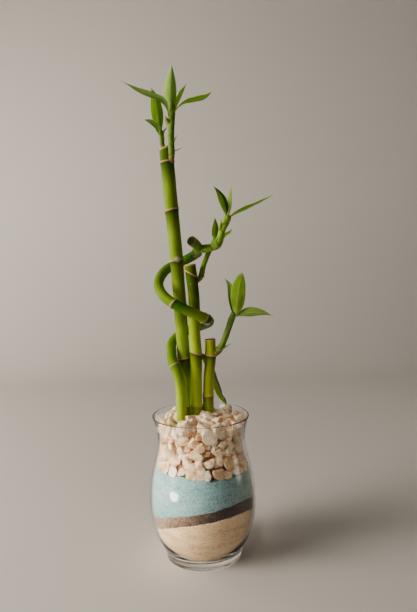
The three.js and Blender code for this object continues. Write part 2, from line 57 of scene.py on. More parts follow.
forward = Vector((0, math.cos(PITCH), -math.sin(PITCH)))
level_right = Vector((1, 0, 0))
level_up = level_right.cross(forward)
camera_right = level_right * math.cos(ROLL) - level_up * math.sin(ROLL)
camera_up = level_up * math.cos(ROLL) + level_right * math.sin(ROLL)
camera = bpy.data.objects.new("camera", bpy.data.cameras.new("camera"))
camera.data.sensor_fit = "VERTICAL"
camera.data.sensor_height = SENSOR
camera.data.lens = SENSOR * FOCAL_PIXELS / FRAME_HEIGHT
camera.matrix_world = (
    Matrix.Translation(EYE) @ Matrix((camera_right, camera_up, -forward)).transposed().to_4x4()
)
bpy.context.scene.collection.objects.link(camera)
bpy.context.scene.camera = camera
view = bpy.context.scene.view_settings
view.view_transform, view.look, view.exposure = "AgX", "AgX - Medium High Contrast", 0.38


# The studio: one sweep of matt paper for floor and backdrop, a wide window light at the left with a second
# one for the backdrop, two weak warm bounces at the right, a small card over the gravel heap, and dim room
# light. Every lamp fades towards its edge. The glass mirrors a small card in place of the window.
SWEEP_FRONT, SWEEP_BACK, SWEEP_TOP, SWEEP_SIDE, SWEEP_BEND = -2.0, 1.4, 2.6, 2.6, 0.5
FLOOR_DROP = 0.0002
WINDOW_COLOUR = "#FFF8F0"
BOUNCE_COLOUR = "#FFEBD6"
ROOM_COLOUR = "#EAEAEC"
ROOM_STRENGTH = 0.085


def linear(colour):
    """An sRGB hex colour as linear red, green, blue and alpha."""
    parts = [int(colour[k:k + 2], 16) / 255 for k in (1, 3, 5)]
    return [c / 12.92 if c <= 0.04045 else ((c + 0.055) / 1.055) ** 2.4 for c in parts] + [1.0]


def add_node(tree, kind, inputs, output=0, **settings):
    """Adds one shader node and returns its first output, or the one that is asked for.

    Settings are the node's own. Inputs are sockets' values, hex colours, or other nodes' outputs to link.
    """
    made = tree.nodes.new("ShaderNode" + kind)
    for name, value in settings.items():
        setattr(made, name, value)
    for name, value in inputs.items():
        if isinstance(value, bpy.types.NodeSocket):
            tree.links.new(value, made.inputs[name])
        else:
            made.inputs[name].default_value = linear(value) if isinstance(value, str) else value
    return made.outputs[output] if made.outputs else made


def new_material(name):
    """An empty material, and the function that adds nodes to it."""
    material = bpy.data.materials.new(name)
    material.use_nodes = True
    material.node_tree.nodes.clear()
    return material, partial(add_node, material.node_tree)


def grid_faces(rows, columns, closed):
    """Quads between neighbouring points of a grid, which may close on itself across its columns."""
    row = np.arange(rows - 1)[:, None]
    column = np.arange(columns if closed else columns - 1)[None, :]
    beside = (column + 1) % columns
    corners = (row * columns + column, row * columns + beside,
               (row + 1) * columns + beside, (row + 1) * columns + column)
    return np.stack([corner.ravel() for corner in corners], 1)


def new_object(name, points, faces, material):
    """A smooth-shaded mesh object at the origin."""
    mesh = bpy.data.meshes.new(name)
    mesh.from_pydata(np.asarray(points).tolist(), [], [list(face) for face in faces])
    mesh.materials.append(material)
    mesh.shade_smooth()
    made = bpy.data.objects.new(name, mesh)
    bpy.context.scene.collection.objects.link(made)
    return made


def sweep_points():
    """Floor, quarter-round bend and upright backdrop, carried sideways as straight lines."""
    bend = np.linspace(0, math.pi / 2, 24)
    depth = np.concatenate([[SWEEP_FRONT], SWEEP_BACK - SWEEP_BEND * (1 - np.sin(bend)), [SWEEP_BACK]])
    height = np.concatenate([[0.0], SWEEP_BEND * (1 - np.cos(bend)), [SWEEP_TOP]])
    across = np.linspace(-SWEEP_SIDE, SWEEP_SIDE, 5)
    points = np.empty((len(depth), len(across), 3))
    points[..., 0] = across[None, :]
    points[..., 1] = depth[:, None]
    points[..., 2] = height[:, None] - FLOOR_DROP
    return points


paper, node = new_material("matt_paper_sweep")
coords = node("TexCoord", {}, "Object")
cloud = node("TexNoise", {"Vector": coords, "Scale": 1.2, "Detail": 2.0})
tone = node("MixRGB", {"Fac": cloud, "Color1": "#DAD4CB", "Color2": "#E1DCD4"})
shader = node("BsdfPrincipled", {"Base Color": tone, "Roughness": 0.9})
node("OutputMaterial", {"Surface": shader})
points = sweep_points()
sweep = new_object("paper_sweep", points.reshape(-1, 3), grid_faces(*points.shape[:2], False), paper)

LAMPS = {
    # place, point aimed at, width and height, watts, colour, spread in degrees, where its soft edge begins
    "window": ((-1.36, -0.50, 0.64), (0, 0, 0.25), (1.5, 1.2), 68, WINDOW_COLOUR, 180, 0.12),
    "backdrop_window": ((-1.4, 0.6, 0.7), (-0.1, 1.4, 0.2), (0.9, 0.9), 9, WINDOW_COLOUR, 180, 0.12),
    "bounce": ((0.95, 0.30, 0.25), (0, 0, 0.22), (0.5, 0.7), 1.1, BOUNCE_COLOUR, 180, 0.12),
    "low_bounce": ((0.62, 0, 0.14), (0.02, 0, 0.097), (0.30, 0.26), 0.018, BOUNCE_COLOUR, 30, 0.12),
    "heap_card": ((-0.04, -0.26, 0.6), (0.012, -0.01, 0.135), (0.08, 0.08), 0.008, WINDOW_COLOUR, 12, 0.12),
    "glint_card": (
        (-0.159, -0.113, 0.054), (-0.027, -0.045, 0.0775), (0.085, 0.032), 0.003, WINDOW_COLOUR, 24, 0.40),
}
MIRRORED = ("backdrop_window", "low_bounce", "glint_card")
for name, (place, aim, size, watts, colour, spread, soft_from) in LAMPS.items():
    lamp = bpy.data.lights.new(name, "AREA")
    lamp.shape = "RECTANGLE"
    lamp.size, lamp.size_y = size
    lamp.energy = watts
    lamp.color = linear(colour)[:3]
    lamp.spread = math.radians(spread)
    lamp.use_nodes = True
    node = partial(add_node, lamp.node_tree)
    place_on_card = node("NewGeometry", {}, "Parametric")
    from_middle = node("VectorMath", {0: place_on_card, 1: (0.5, 0.5, 0.0)}, operation="SUBTRACT")
    distance = node("VectorMath", {0: from_middle}, "Value", operation="LENGTH")
    falling = node("MapRange", {
        "Value": distance, "From Min": soft_from, "From Max": 0.5, "To Min": 1.0, "To Max": 0.0})
    lamp.node_tree.links.new(falling, lamp.node_tree.nodes["Emission"].inputs["Strength"])
    light = bpy.data.objects.new(name, lamp)
    light.location = place
    light.rotation_euler = (Vector(aim) - Vector(place)).to_track_quat("-Z", "Y").to_euler()
    light.visible_camera = False
    light.visible_glossy = name in MIRRORED
    bpy.context.scene.collection.objects.link(light)

room = bpy.data.worlds.new("room")
room.use_nodes = True
room_light = room.node_tree.nodes["Background"]
room_light.inputs["Color"].default_value = linear(ROOM_COLOUR)
room_light.inputs["Strength"].default_value = ROOM_STRENGTH
bpy.context.scene.world = room


# The vase: blown soda-lime glass in one turned wall, about 2 mm thick at the belly, that stands on the edge
# of its thick clear foot. Its lip is fire-polished round and a millimetre or so out of level.
GLASS_OUTSIDE = [
    (38.2, 1.0), (39.0, 6), (41.4, 11.5), (47.4, 23.5), (51.6, 36.5), (54.0, 57), (52.5, 80),
    (48.1, 99), (44.9, 113), (44.2, 122), (46.2, 134.5), (48.9, 142.9),
]
GLASS_INSIDE = [
    (32.0, 8.3), (36.2, 10.2), (38.8, 13.5), (45.0, 24), (49.3, 37), (51.7, 57), (50.2, 80),
    (45.8, 99), (42.7, 113), (42.1, 122), (44.4, 134.5), (47.4, 142.9),
]
GLASS_FOOT = [(8, 0.9), (20, 0.8), (29, 0.5), (34, 0.08), (36.2, 0.0), (37.6, 0.3)]
GLASS_FLOOR = [(22, 7.9), (12, 7.8)]
GLASS_AROUND = 160
LIP_RADIUS = 0.75
LIP_CENTRE = (48.15, 142.9)
RIM_RISE = (1.2, -0.011, 0.022)         # at the axis, along X and along Y
RIM_RISE_FROM, RIM_RISE_OVER = 112, 32


def smooth_line(points, steps):
    """Points at even steps along a smooth curve through the given ones, and their distances along it.

    The curve is a centripetal Catmull-Rom spline: a cubic in each span, with end slopes from the neighbouring
    points, each chord weighted by the square root of its length.
    """
    given = np.asarray(points, float)
    all_points = np.vstack([2 * given[0] - given[1], given, 2 * given[-1] - given[-2]])
    chord = np.sqrt(np.linalg.norm(np.diff(all_points, axis=0), axis=1))[:, None]
    before, here, after = chord[:-2], chord[1:-1], chord[2:]
    p0, p1, p2, p3 = all_points[:-3], all_points[1:-2], all_points[2:-1], all_points[3:]
    leaving = ((p1 - p0) / before - (p2 - p0) / (before + here) + (p2 - p1) / here) * here
    arriving = ((p2 - p1) / here - (p3 - p1) / (here + after) + (p3 - p2) / after) * here
    s = np.linspace(0, 1, 40, endpoint=False)[None, :, None]
    p1, p2, leaving, arriving = (part[:, None, :] for part in (p1, p2, leaving, arriving))
    spans = (p1 + leaving * s + (3 * (p2 - p1) - 2 * leaving - arriving) * s ** 2
             + (2 * (p1 - p2) + leaving + arriving) * s ** 3)
    dense = np.vstack([spans.reshape(-1, given.shape[1]), given[-1:]])
    run = np.concatenate([[0], np.cumsum(np.linalg.norm(np.diff(dense, axis=0), axis=1))])
    distances = np.linspace(0, run[-1], steps) if np.isscalar(steps) else np.asarray(steps(run[-1]))
    columns = [np.interp(distances, run, dense[:, k]) for k in range(given.shape[1])]
    return np.stack(columns, 1), distances


def closed_skin(rings):
    """Points and faces of a closed surface through rings of equally many points, with a fan at each end."""
    rows, columns = rings.shape[:2]
    points = np.vstack([rings.reshape(-1, 3), rings[0].mean(0), rings[-1].mean(0)])
    k = np.arange(columns)
    beside = (k + 1) % columns
    first = np.stack([np.full(columns, rows * columns), beside, k], 1)
    top = (rows - 1) * columns
    last = np.stack([np.full(columns, rows * columns + 1), top + k, top + beside], 1)
    return points, [*grid_faces(rows, columns, True).tolist(), *first.tolist(), *last.tolist()]


def turned(profile, around):
    """Rings of a turned shape: each (radius, height) of the profile carried round the Z axis."""
    angle = np.linspace(0, 2 * math.pi, around, endpoint=False)
    radius, height = np.asarray(profile, float).T
    x = radius[:, None] * np.cos(angle)
    y = radius[:, None] * np.sin(angle)
    return np.stack([x, y, np.broadcast_to(height[:, None], x.shape)], 2)


inside_line = smooth_line(GLASS_INSIDE, 90)[0]
lip_angle = np.linspace(0, math.pi, 13)[1:-1]
lip = np.stack([
    LIP_CENTRE[0] + LIP_RADIUS * np.cos(lip_angle),
    LIP_CENTRE[1] + LIP_RADIUS * np.sin(lip_angle),
], 1)
glass_profile = np.vstack([
    GLASS_FOOT, smooth_line(GLASS_OUTSIDE, 90)[0], lip, inside_line[::-1], GLASS_FLOOR,
])

glass_rings = turned(glass_profile, GLASS_AROUND)
towards_rim = np.clip((glass_rings[..., 2] - RIM_RISE_FROM) / RIM_RISE_OVER, 0, 1)
out_of_level = RIM_RISE[0] + RIM_RISE[1] * glass_rings[..., 0] + RIM_RISE[2] * glass_rings[..., 1]
glass_rings[..., 2] += towards_rim ** 2 * (3 - 2 * towards_rim) * out_of_level

glass, node = new_material("soda_lime_glass")
seen = node("BsdfPrincipled", {
    "Base Color": "#FFFFFF", "Roughness": 0.0, "IOR": 1.5, "Transmission Weight": 1.0})
clear = node("BsdfTransparent", {"Color": "#F4F6F5"})
to_lamp = node("LightPath", {}, "Is Shadow Ray")
mixed = node("MixShader", {"Fac": to_lamp, 1: seen, 2: clear})
node("OutputMaterial", {"Surface": mixed})

vase = new_object("glass_vase", *closed_skin(glass_rings * MM), glass)
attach(vase, "root")
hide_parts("vase")


# The sand: dyed quartz sand poured in three layers, cream, brown and pale blue, with tilted, slightly wavy
# tops. It lies against the glass all round. The real grains are about 0.5 mm, too fine to show, so they are
# drawn twice as coarse.
SAND_AROUND = 320
SAND_GAP = 0.15
GRAIN = 0.95
SAND_FLOOR = 8.4
CREAM_TILT = (40.0, 0.18, -0.27)
BLUE_TILT = (93.4, -0.06, 0.0)
BROWN_MEAN, BROWN_RIGHT, BROWN_BACK, BROWN_SIDES = 11.6, 0.4, 1.2, 0.9
SAND_COLOURS = {
    # slot, pale and main colours of the grains, colour of the odd ones, the share that isn't odd, and the
    # share of cream grains mixed in at the left
    "sand_cream": ("cream_sand", "#FFE2B6", "#D2A575", "#B07C5C", 0.94, 0.0),
    "sand_brown": ("brown_sand", "#40241A", "#0C0402", "#8C6A54", 0.82, 0.46),
    "sand_blue": ("blue_sand", "#A0BEBC", "#769A98", "#466468", 0.80, 0.0),
}


def inside_radius(height):
    """Radius of the vase's inner wall at a height."""
    return np.interp(height, inside_line[:, 1], inside_line[:, 0])


def ripple(x, y):
    """Long low waves, short ones of a third of a millimetre on top, and a ragged edge of single grains."""
    waves = 0.7 * np.sin(x / 11 + 0.6) * np.cos(y / 14 - 0.4)
    grains = 0.26 * np.sin(3.1 * x + 1.9 * np.sin(2.3 * y)) * np.cos(2.7 * y + 1.4 * np.sin(1.7 * x))
    return waves + 0.22 * np.sin(x / 2.9 + y / 4.3) + 0.16 * np.sin(y / 1.9 - x / 3.1 + 1.0) + grains


def sand_floor(x, y):
    """The vase's flat inner floor."""
    return SAND_FLOOR + 0 * x


def cream_top(x, y):
    """A tilted, rippled plane."""
    level, along_x, along_y = CREAM_TILT
    return level + along_x * x + along_y * y + ripple(x, y)


def brown_top(x, y):
    """The cream sand's top plus a thickness that varies round the glass, least at the front."""
    angle = np.arctan2(y, x)
    outward = np.minimum(1, np.hypot(x, y) / 50)
    varied = BROWN_RIGHT * np.cos(angle) + BROWN_BACK * np.sin(angle) + BROWN_SIDES * np.cos(2 * angle)
    return cream_top(x, y) + BROWN_MEAN + outward * varied + 0.25 * np.sin(x / 3.7 + 2) * np.sin(y / 2.7)


def blue_top(x, y):
    """A nearly level, rippled plane, pressed into dips by the stones along the glass, deepest in front."""
    angle = np.arctan2(y, x)
    dips = 0.9 * np.sin(9 * angle + 0.8) + 0.7 * np.sin(16 * angle + 2.0)
    deepest = 3.4 * np.exp(-((x - 13) / 6) ** 2 - ((y + 48) / 12) ** 2)
    along_glass = np.clip(np.hypot(x, y) / 45 - 0.6, 0, 1) / 0.4
    level, along_x, along_y = BLUE_TILT
    return level + along_x * x + along_y * y + ripple(y, x) + along_glass * dips - deepest


def sand_rings(lower, upper, rises):
    """Rings out over the lower surface, up the glass, and in over the upper surface.

    On the glass the radius follows from the height and the height from the radius, so both are settled in
    turn.
    """
    angle = np.linspace(0, 2 * math.pi, SAND_AROUND, endpoint=False)[None, :]
    share = np.linspace(0, 1, rises)[:, None]
    radius = inside_radius(60.0) - SAND_GAP + 0 * angle * share
    for _ in range(14):
        x, y = radius * np.cos(angle), radius * np.sin(angle)
        height = (1 - share) * lower(x, y) + share * upper(x, y)
        radius = inside_radius(height) - SAND_GAP
    wall = np.stack([radius * np.cos(angle), radius * np.sin(angle), height], 2)
    inward = np.array([0.97, 0.9, 0.75, 0.55, 0.3, 0.08])[:, None]
    flats = []
    for surface, rim in ((lower, wall[0]), (upper, wall[-1])):
        x, y = rim[:, 0] * inward, rim[:, 1] * inward
        flats.append(np.stack([x, y, surface(x, y)], 2))
    return np.concatenate([flats[0][::-1], wall, flats[1]])


def sand_material(name, light, main, speck, plain_share, mixed_in):
    """Loose dry sand: every grain its own shade, some odd ones, no shine, and paler and darker patches drawn
    out level, as it settles when poured. Towards -X a share of grains from the layer below is mixed in."""
    material, node = new_material(name)
    coords = node("TexCoord", {}, "Object")
    cell = node("TexVoronoi", {"Vector": coords, "Scale": 1 / (GRAIN * MM)})
    red, green, blue = node("SeparateColor", {"Color": cell.node.outputs["Color"]}).node.outputs
    level = node("Mapping", {"Vector": coords, "Scale": (1.0, 1.0, 3.0)})
    cloud = node("TexNoise", {"Vector": level, "Scale": 48.0, "Detail": 4.0})
    patch = node("MapRange", {
        "Value": cloud, "From Min": 0.36, "From Max": 0.64, "To Min": 0.1, "To Max": 1.1})
    clouded = node("Math", {0: red, 1: patch}, operation="MULTIPLY")
    odd = node("MapRange", {"Value": green, "From Min": plain_share, "To Max": 0.8})
    side = node("SeparateXYZ", {"Vector": coords}, "X")
    drift = node("Math", {0: cloud, 1: 20 * MM, 2: side}, operation="MULTIPLY_ADD")
    share = node("MapRange", {"Value": drift, "From Min": 25 * MM, "From Max": -32 * MM, "To Max": mixed_in})
    each = node("Math", {0: blue, 1: 1.5, 2: 0.25}, operation="MULTIPLY_ADD")
    strewn = node("Math", {0: each, 1: share}, operation="MULTIPLY")
    colour = node("MixRGB", {"Fac": clouded, "Color1": light, "Color2": main})
    for share, tint in ((odd, speck), (strewn, "#DCC0A0")):
        colour = node("MixRGB", {"Fac": share, "Color1": colour, "Color2": tint})
    bump = node("Bump", {"Height": cell, "Strength": 0.35, "Distance": 0.3 * MM}, invert=True)
    shader = node("BsdfPrincipled", {"Base Color": colour, "Roughness": 0.85, "Normal": bump})
    node("OutputMaterial", {"Surface": shader})
    return material


LAYER_GAP = 0.05
sand_between = {
    "sand_cream": (sand_floor, cream_top),
    "sand_brown": (lambda x, y: cream_top(x, y) + LAYER_GAP, brown_top),
    "sand_blue": (lambda x, y: brown_top(x, y) + LAYER_GAP, blue_top),
}
for node_name, (lower, upper) in sand_between.items():
    slot, *looks = SAND_COLOURS[node_name]
    quartz = sand_material("dyed_quartz_" + node_name, *looks)
    layer = new_object(node_name + "_layer", *closed_skin(sand_rings(lower, upper, 40) * MM), quartz)
    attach(layer, "root")
    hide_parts(node_name)


# The canes: cut stems of a dracaena, smooth waxy green skin with a tan ring at each node where a leaf was
# stripped, and a dried tan edge round each cut. They stand in the gravel.
STRAIGHT_CANES = {
    # line, radii at foot and top, rings as (distance, slant, direction it rises to, strength, depth of the
    # green above it), slant of the cut, scar as (centre, reach, strength)
    "cane_tall": (
        [(-12.6, 5.5, 97), (-13.9, 4.5, 150), (-16.5, 3.5, 220), (-20.3, 3.5, 303), (-24.3, 4.5, 361),
         (-27.6, 5, 412.4)],
        (6.2, 7.0),
        [(56, 0.6, 0, 0.6, 0), (105, 0.5, 0, 1, 0), (158, 0.3, 0, 1, 0), (204, 0.7, 0, 1, 0.1),
         (254.5, 1.1, 10, 1, 0.25), (302, 0.4, 0, 1, 0.9)],
        1.4, ((-18.9, -2.6, 301.6), (5.2, 4.5, 4.2), 1),
    ),
    "cane_middle": (
        [(-4, -4.5, 97), (-4.2, -4, 150), (-3, -4, 203), (-3.9, -4, 232), (-3.6, -4, 262), (-6.4, -4, 296)],
        (6.1, 5.7),
        [(58, 1.0, 180, 0.6, 0), (111, 2.3, 180, 1, 0), (149, 0.4, 0, 0.5, 0.75), (190, 4.2, 180, 1, 0.85)],
        0.0, ((-6.4, -9.6, 277.0), (2.4, 3, 4.2), 0.4),
    ),
    "cane_short": (
        [(7.6, 0, 97), (7.8, 0, 150), (9.2, 0, 182), (11.4, 0, 202), (11.5, 0, 220.5)],
        (5.4, 5.5),
        [(67, 0.3, 0, 0.8, 0), (108, 0.5, 180, 1, 0)],
        0.3, ((9, -5, 190), (1, 1, 1), 0),
    ),
}
CANE_SIDES = 40
RING_PROUD, RING_WIDTH = 0.30, 0.75
NODE_SWELL, NODE_WIDTH = 0.35, 2.6
SHADE_REACH = 24                        # how far below a ring painted shade darkens the green
CUT_REACH = 14                          # how far below the cut its slant begins
CUT_EDGE = 1.3                          # height of the dried edge below the cut


def carried_frames(line):
    """Directions along a line, and two sideways ones carried along it without twist, starting at +X."""
    direction = np.gradient(line, axis=0)
    direction /= np.linalg.norm(direction, axis=1, keepdims=True)
    across = np.zeros_like(line)
    carried = np.array([1.0, 0.0, 0.0])
    for k, ahead in enumerate(direction):
        carried = carried - ahead * (carried @ ahead)
        carried /= np.linalg.norm(carried)
        across[k] = carried
    return direction, across, np.cross(direction, across)


def stem_grid(line, marks, even, reach, fine, sides):
    """A grid on a stem: points along its line, at even steps and finer ones near each mark, and angles round.

    A mark starts with its distance along the line, its slant and the direction it rises to. Gives the points,
    their distances, the directions there, the angles, and how far past each mark every grid point lies.
    """
    at, slant, rises_to = np.array([mark[:3] for mark in marks], float).T

    def distances(length):
        close = (at[:, None] + np.arange(-reach, reach, fine)).ravel()
        close = close[(close > 0) & (close < length - 0.5)]
        return np.unique(np.round(np.concatenate([np.arange(0, length, even), close, [length]]), 3))

    path, run = smooth_line(line, distances)
    angle = np.linspace(0, 2 * math.pi, sides, endpoint=False)
    mark_height = at[:, None] + slant[:, None] * np.cos(angle[None, :] - np.radians(rises_to)[:, None])
    return path, run, carried_frames(path), angle, run[:, None, None] - mark_height[None, :, :]


def stem_surface(path, run, frames, angle, radius):
    """Points at a radius round a stem's line, and (x, y, distance) for each on its unrolled skin."""
    _, across, other = frames
    outward = (across[:, None, :] * np.cos(angle)[None, :, None]
               + other[:, None, :] * np.sin(angle)[None, :, None])
    run = np.broadcast_to(run[:, None], radius.shape)
    return (path[:, None, :] + outward * radius[..., None],
            np.stack([radius * np.cos(angle), radius * np.sin(angle), run], 2))


def cane_rings(line, radii, rings, cut_slant, scar, sides):
    """Rings of a cane's surface, and per point: (x, y, distance) on the unrolled skin, distance from the
    nearest ring and that ring's strength, painted shade below the next ring, depth of the green, how far onto
    the cut end it lies, and nearness to the scar.

    Radius = nominal + a low swelling at each node + a narrow lip on it + slow unevenness. The cut end's rings
    close in over a rounded edge to a slightly hollow face.
    """
    path, run, frames, angle, over = stem_grid(line, rings, even=1.8, reach=6.5, fine=0.4, sides=sides)
    length = run[-1]
    at, _, _, ring_strength, ring_depth = np.array(rings, float).T
    off_ring = np.abs(over).min(1)
    strength = ring_strength[np.abs(over).argmin(1)]
    # Painted shade: the green darkens over SHADE_REACH below each ring, as far as that ring's strength
    # allows.
    under = np.where(over < 0, -over, 1e3)
    shade = ring_strength[under.argmin(1)] * np.clip((SHADE_REACH - under.min(1)) / SHADE_REACH, 0, 1)
    depth = np.concatenate([[0], ring_depth])[(over > 0).sum(1)]
    stops = np.concatenate([[0], at, [length + 8]])
    below = np.clip(np.searchsorted(stops, run, side="right") - 1, 0, len(stops) - 2)
    between = ((run - stops[below]) / (stops[below + 1] - stops[below]))[:, None]

    nominal = np.interp(run, [0, length], radii)[:, None]
    uneven = (0.06 * np.sin(run[:, None] / 9.0 + 2 * np.cos(angle))
              + 0.036 * np.sin(run[:, None] / 3.7 + 3 * angle))
    waist = 0.18 * np.sin(math.pi * between)
    swell = NODE_SWELL * np.exp(-(off_ring / NODE_WIDTH) ** 2)
    lip = RING_PROUD * np.exp(-(off_ring / RING_WIDTH) ** 2)
    radius = nominal + uneven - waist + (swell + lip) * strength
    points, skin = stem_surface(path, run, frames, angle, radius)
    ahead = frames[0]
    slanted = cut_slant * np.clip((run - length + CUT_REACH) / CUT_REACH, 0, 1) ** 2
    points = points + ahead[:, None, :] * (slanted[:, None] * np.cos(angle))[..., None]

    face_share = np.array([0.985, 0.95, 0.88, 0.75, 0.6, 0.45, 0.3, 0.15, 0.05])
    hollow = np.array([0.28, 0.42, 0.30, 0.05, -0.1, -0.2, -0.3, -0.35, -0.35])
    edge = points[-1]
    middle = edge.mean(0)
    face = middle + (edge - middle) * face_share[:, None, None] + ahead[-1] * hollow[:, None, None]
    face_skin = np.repeat(skin[-1:], len(face_share), 0)
    face_skin[..., :2] *= face_share[:, None, None]
    points = np.concatenate([points, face])
    on_face = np.zeros((len(face_share), sides))
    strength, shade, depth = (np.concatenate([values, on_face]) for values in (strength, shade, depth))
    dried = np.clip(1 - (length - run) / CUT_EDGE, 0, 1) * 0.02
    cut = np.concatenate([dried, 1 - face_share ** 2 + 0.02])
    centre, reach, scarring = scar
    return points, {
        "skin": np.concatenate([skin, face_skin]),
        "off_ring": np.concatenate([off_ring, on_face + 30.0]),
        "strength": strength,
        "shade": shade,
        "depth": depth,
        "cut": np.repeat(cut[:, None], sides, 1),
        "near_scar": np.clip(1 - np.linalg.norm((points - centre) / reach, axis=2), 0, 1) * scarring,
    }


def grown_object(name, rings, attributes, material):
    """A closed skin over rings in millimetres. Each array is kept as a point attribute, of numbers, or of
    vectors where it has three parts, and the fan centres that close the ends take the last points' values."""
    made = new_object(name, *closed_skin(rings * MM), material)
    for kept, values in attributes.items():
        vector = values.ndim == 3
        flat = values.reshape(-1, 3) if vector else values.reshape(-1)
        flat = np.concatenate([flat, flat[[0, -1]]]).astype(np.float32)
        stored = made.data.attributes.new(kept, "FLOAT_VECTOR" if vector else "FLOAT", "POINT")
        stored.data.foreach_set("vector" if vector else "value", flat.ravel())
    return made


def cane_material(name, light, main, deep, rim="#C0A070"):
    """Waxy living stem: green mottled along its length, darkened by painted shade below each ring and most
    just under it, tan corky rings, and a dark fibrous cut with a dried rim."""
    material, node = new_material(name)
    skin = node("Attribute", {}, "Vector", attribute_name="skin")
    off_ring, strength, shade, depth, cut, near_scar = (
        node("Attribute", {}, "Fac", attribute_name=kept)
        for kept in ("off_ring", "strength", "shade", "depth", "cut", "near_scar"))

    stretched = node("Mapping", {"Vector": skin, "Scale": (1, 1, 0.045)})
    streaks = node("TexNoise", {"Vector": stretched, "Scale": 0.75, "Detail": 3.0})
    clouds = node("TexNoise", {"Vector": skin, "Scale": 0.09, "Detail": 2.0})
    blotch = node("TexNoise", {"Vector": skin, "Scale": 0.5, "Detail": 2.0})
    streaked = node("MapRange", {"Value": streaks, "From Min": 0.35, "From Max": 0.65})
    clouded = node("MapRange", {"Value": clouds, "From Min": 0.4, "From Max": 0.62, "To Max": 0.55})
    # Painted shade below each ring, added to the depth of the green, and a narrower, darker band of it just
    # under the ring.
    upper = node("Math", {0: shade, 1: depth}, operation="ADD", use_clamp=True)
    painted_shade_under_ring = node("MapRange", {"Value": shade, "From Min": 0.8, "From Max": 0.97, "To Max": 0.7})

    ragged = node("Math", {0: blotch, 1: 0.7, 2: 0.45}, operation="MULTIPLY_ADD")
    reach = node("Math", {0: ragged, 1: strength}, operation="MULTIPLY")
    ring = node("Math", {0: off_ring, 1: reach}, operation="LESS_THAN")
    cork = node("MixRGB", {"Fac": blotch, "Color1": "#DCBE96", "Color2": "#9A6E4C"})
    torn = node("Math", {0: blotch, 1: 0.3, 2: near_scar}, operation="MULTIPLY_ADD")
    scarred = node("MapRange", {"Value": torn, "From Min": 0.42, "From Max": 0.52, "To Max": 0.85})
    bark = node("MixRGB", {"Fac": blotch, "Color1": "#D6CCB8", "Color2": "#948A6E"})
    on_rim = node("Math", {0: cut, 1: 0.004}, operation="GREATER_THAN")
    on_face = node("MapRange", {"Value": cut, "From Min": 0.12, "From Max": 0.35})
    fibre = node("MixRGB", {"Fac": blotch, "Color1": "#1E210F", "Color2": "#3A3D22"})
    end = node("MixRGB", {"Fac": on_face, "Color1": rim, "Color2": fibre})
    colour = node("MixRGB", {"Fac": streaked, "Color1": main, "Color2": light})
    for share, tint in ((clouded, light), (upper, deep), (painted_shade_under_ring, "#36420A"),
                        (ring, cork), (scarred, bark), (on_rim, end)):
        colour = node("MixRGB", {"Fac": share, "Color1": colour, "Color2": tint})

    rough = node("Math", {0: ring, 1: on_rim}, operation="MAXIMUM")
    waxy = node("MapRange", {"Value": rough, "To Min": 0.42, "To Max": 0.85})
    relief = node("Bump", {"Height": streaks, "Strength": 0.25, "Distance": 0.25 * MM})
    shader = node("BsdfPrincipled", {
        "Base Color": colour, "Roughness": waxy, "Specular IOR Level": 0.4, "Normal": relief})
    node("OutputMaterial", {"Surface": shader})
    return material


cane_skins = {
    "cane_tall": cane_material("waxy_cane_skin_pale", "#93A842", "#7C9429", "#4A6214"),
    "cane_middle": cane_material("waxy_cane_skin_olive", "#AEC244", "#94AC28", "#506610"),
    "cane_short": cane_material("waxy_cane_skin_deep", "#ACB640", "#94A42C", "#5E7218"),
}
cane_lines = {}
for node_name, (line, radii, rings, cut_slant, scar) in STRAIGHT_CANES.items():
    surface = cane_rings(line, radii, rings, cut_slant, scar, CANE_SIDES)
    cane = grown_object(node_name + "_stem", *surface, cane_skins[node_name])
    cane_lines[node_name] = (smooth_line(line, 200)[0], max(radii))
    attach(cane, "root")
    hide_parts(node_name)


# The curly cane: the same plant, trained into a corkscrew by turning it to the light as it grew. It rises at
# the left, winds nearly twice round the tall and middle canes, and ends in a stub behind them.
CURL_AXIS = np.array([-13.6, -0.5])
CURL_FOOT = [(-18, -13, 97), (-18.4, -13, 125), (-18.6, -13, 150), (-19.2, -12.5, 178)]
CURL_TURNS = np.array([
    (-125, 14.4, 191), (-158, 14.2, 201), (-180, 14.2, 209), (-200, 15.7, 213.5), (-225, 17.7, 219),
    (-262, 20, 226), (-310, 22, 232.5), (-360, 24.4, 238.5), (-405, 25, 244.8), (-450, 25, 254),
    (-495, 25, 265), (-540, 25, 278.3), (-585, 25, 292), (-630, 24.4, 300.5), (-665, 20.8, 306.6),
    (-700, 16.2, 311.2), (-735, 14.3, 315.2), (-775, 16.6, 318.8),
])
CURL_RINGS = [
    (101, 0.5, 90, 0.8, 0.6), (199, 0.8, 0, 0.7, 0.4), (206, 0.8, 0, 1, 0.35), (240, 0.8, 0, 1, 0.6),
    (286, 0.3, 0, 0, 0.65), (341, 0.5, 0, 0.8, 0.6),
]
CURL_SCAR = ((8.5, -13.0, 236.0), (6.0, 6.0, 5.0), 1)
CURL_RADII = (5.2, 5.0)
CURL_SIDES = 34

turn = np.radians(CURL_TURNS[:, 0])
curl_line = CURL_FOOT + [
    (CURL_AXIS[0] + radius * math.cos(a), CURL_AXIS[1] + radius * math.sin(a), height)
    for a, radius, height in zip(turn, CURL_TURNS[:, 1], CURL_TURNS[:, 2])
]
curled_skin = cane_material("waxy_curled_cane_skin", "#AABF48", "#8AA428", "#3A660E", rim="#76703E")
surface = cane_rings(curl_line, CURL_RADII, CURL_RINGS, 0.0, CURL_SCAR, CURL_SIDES)
curly = grown_object("cane_curly_stem", *surface, curled_skin)
cane_lines["cane_curly"] = (smooth_line(curl_line, 400)[0], sum(CURL_RADII) / 2)
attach(curly, "root")
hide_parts("cane_curly")
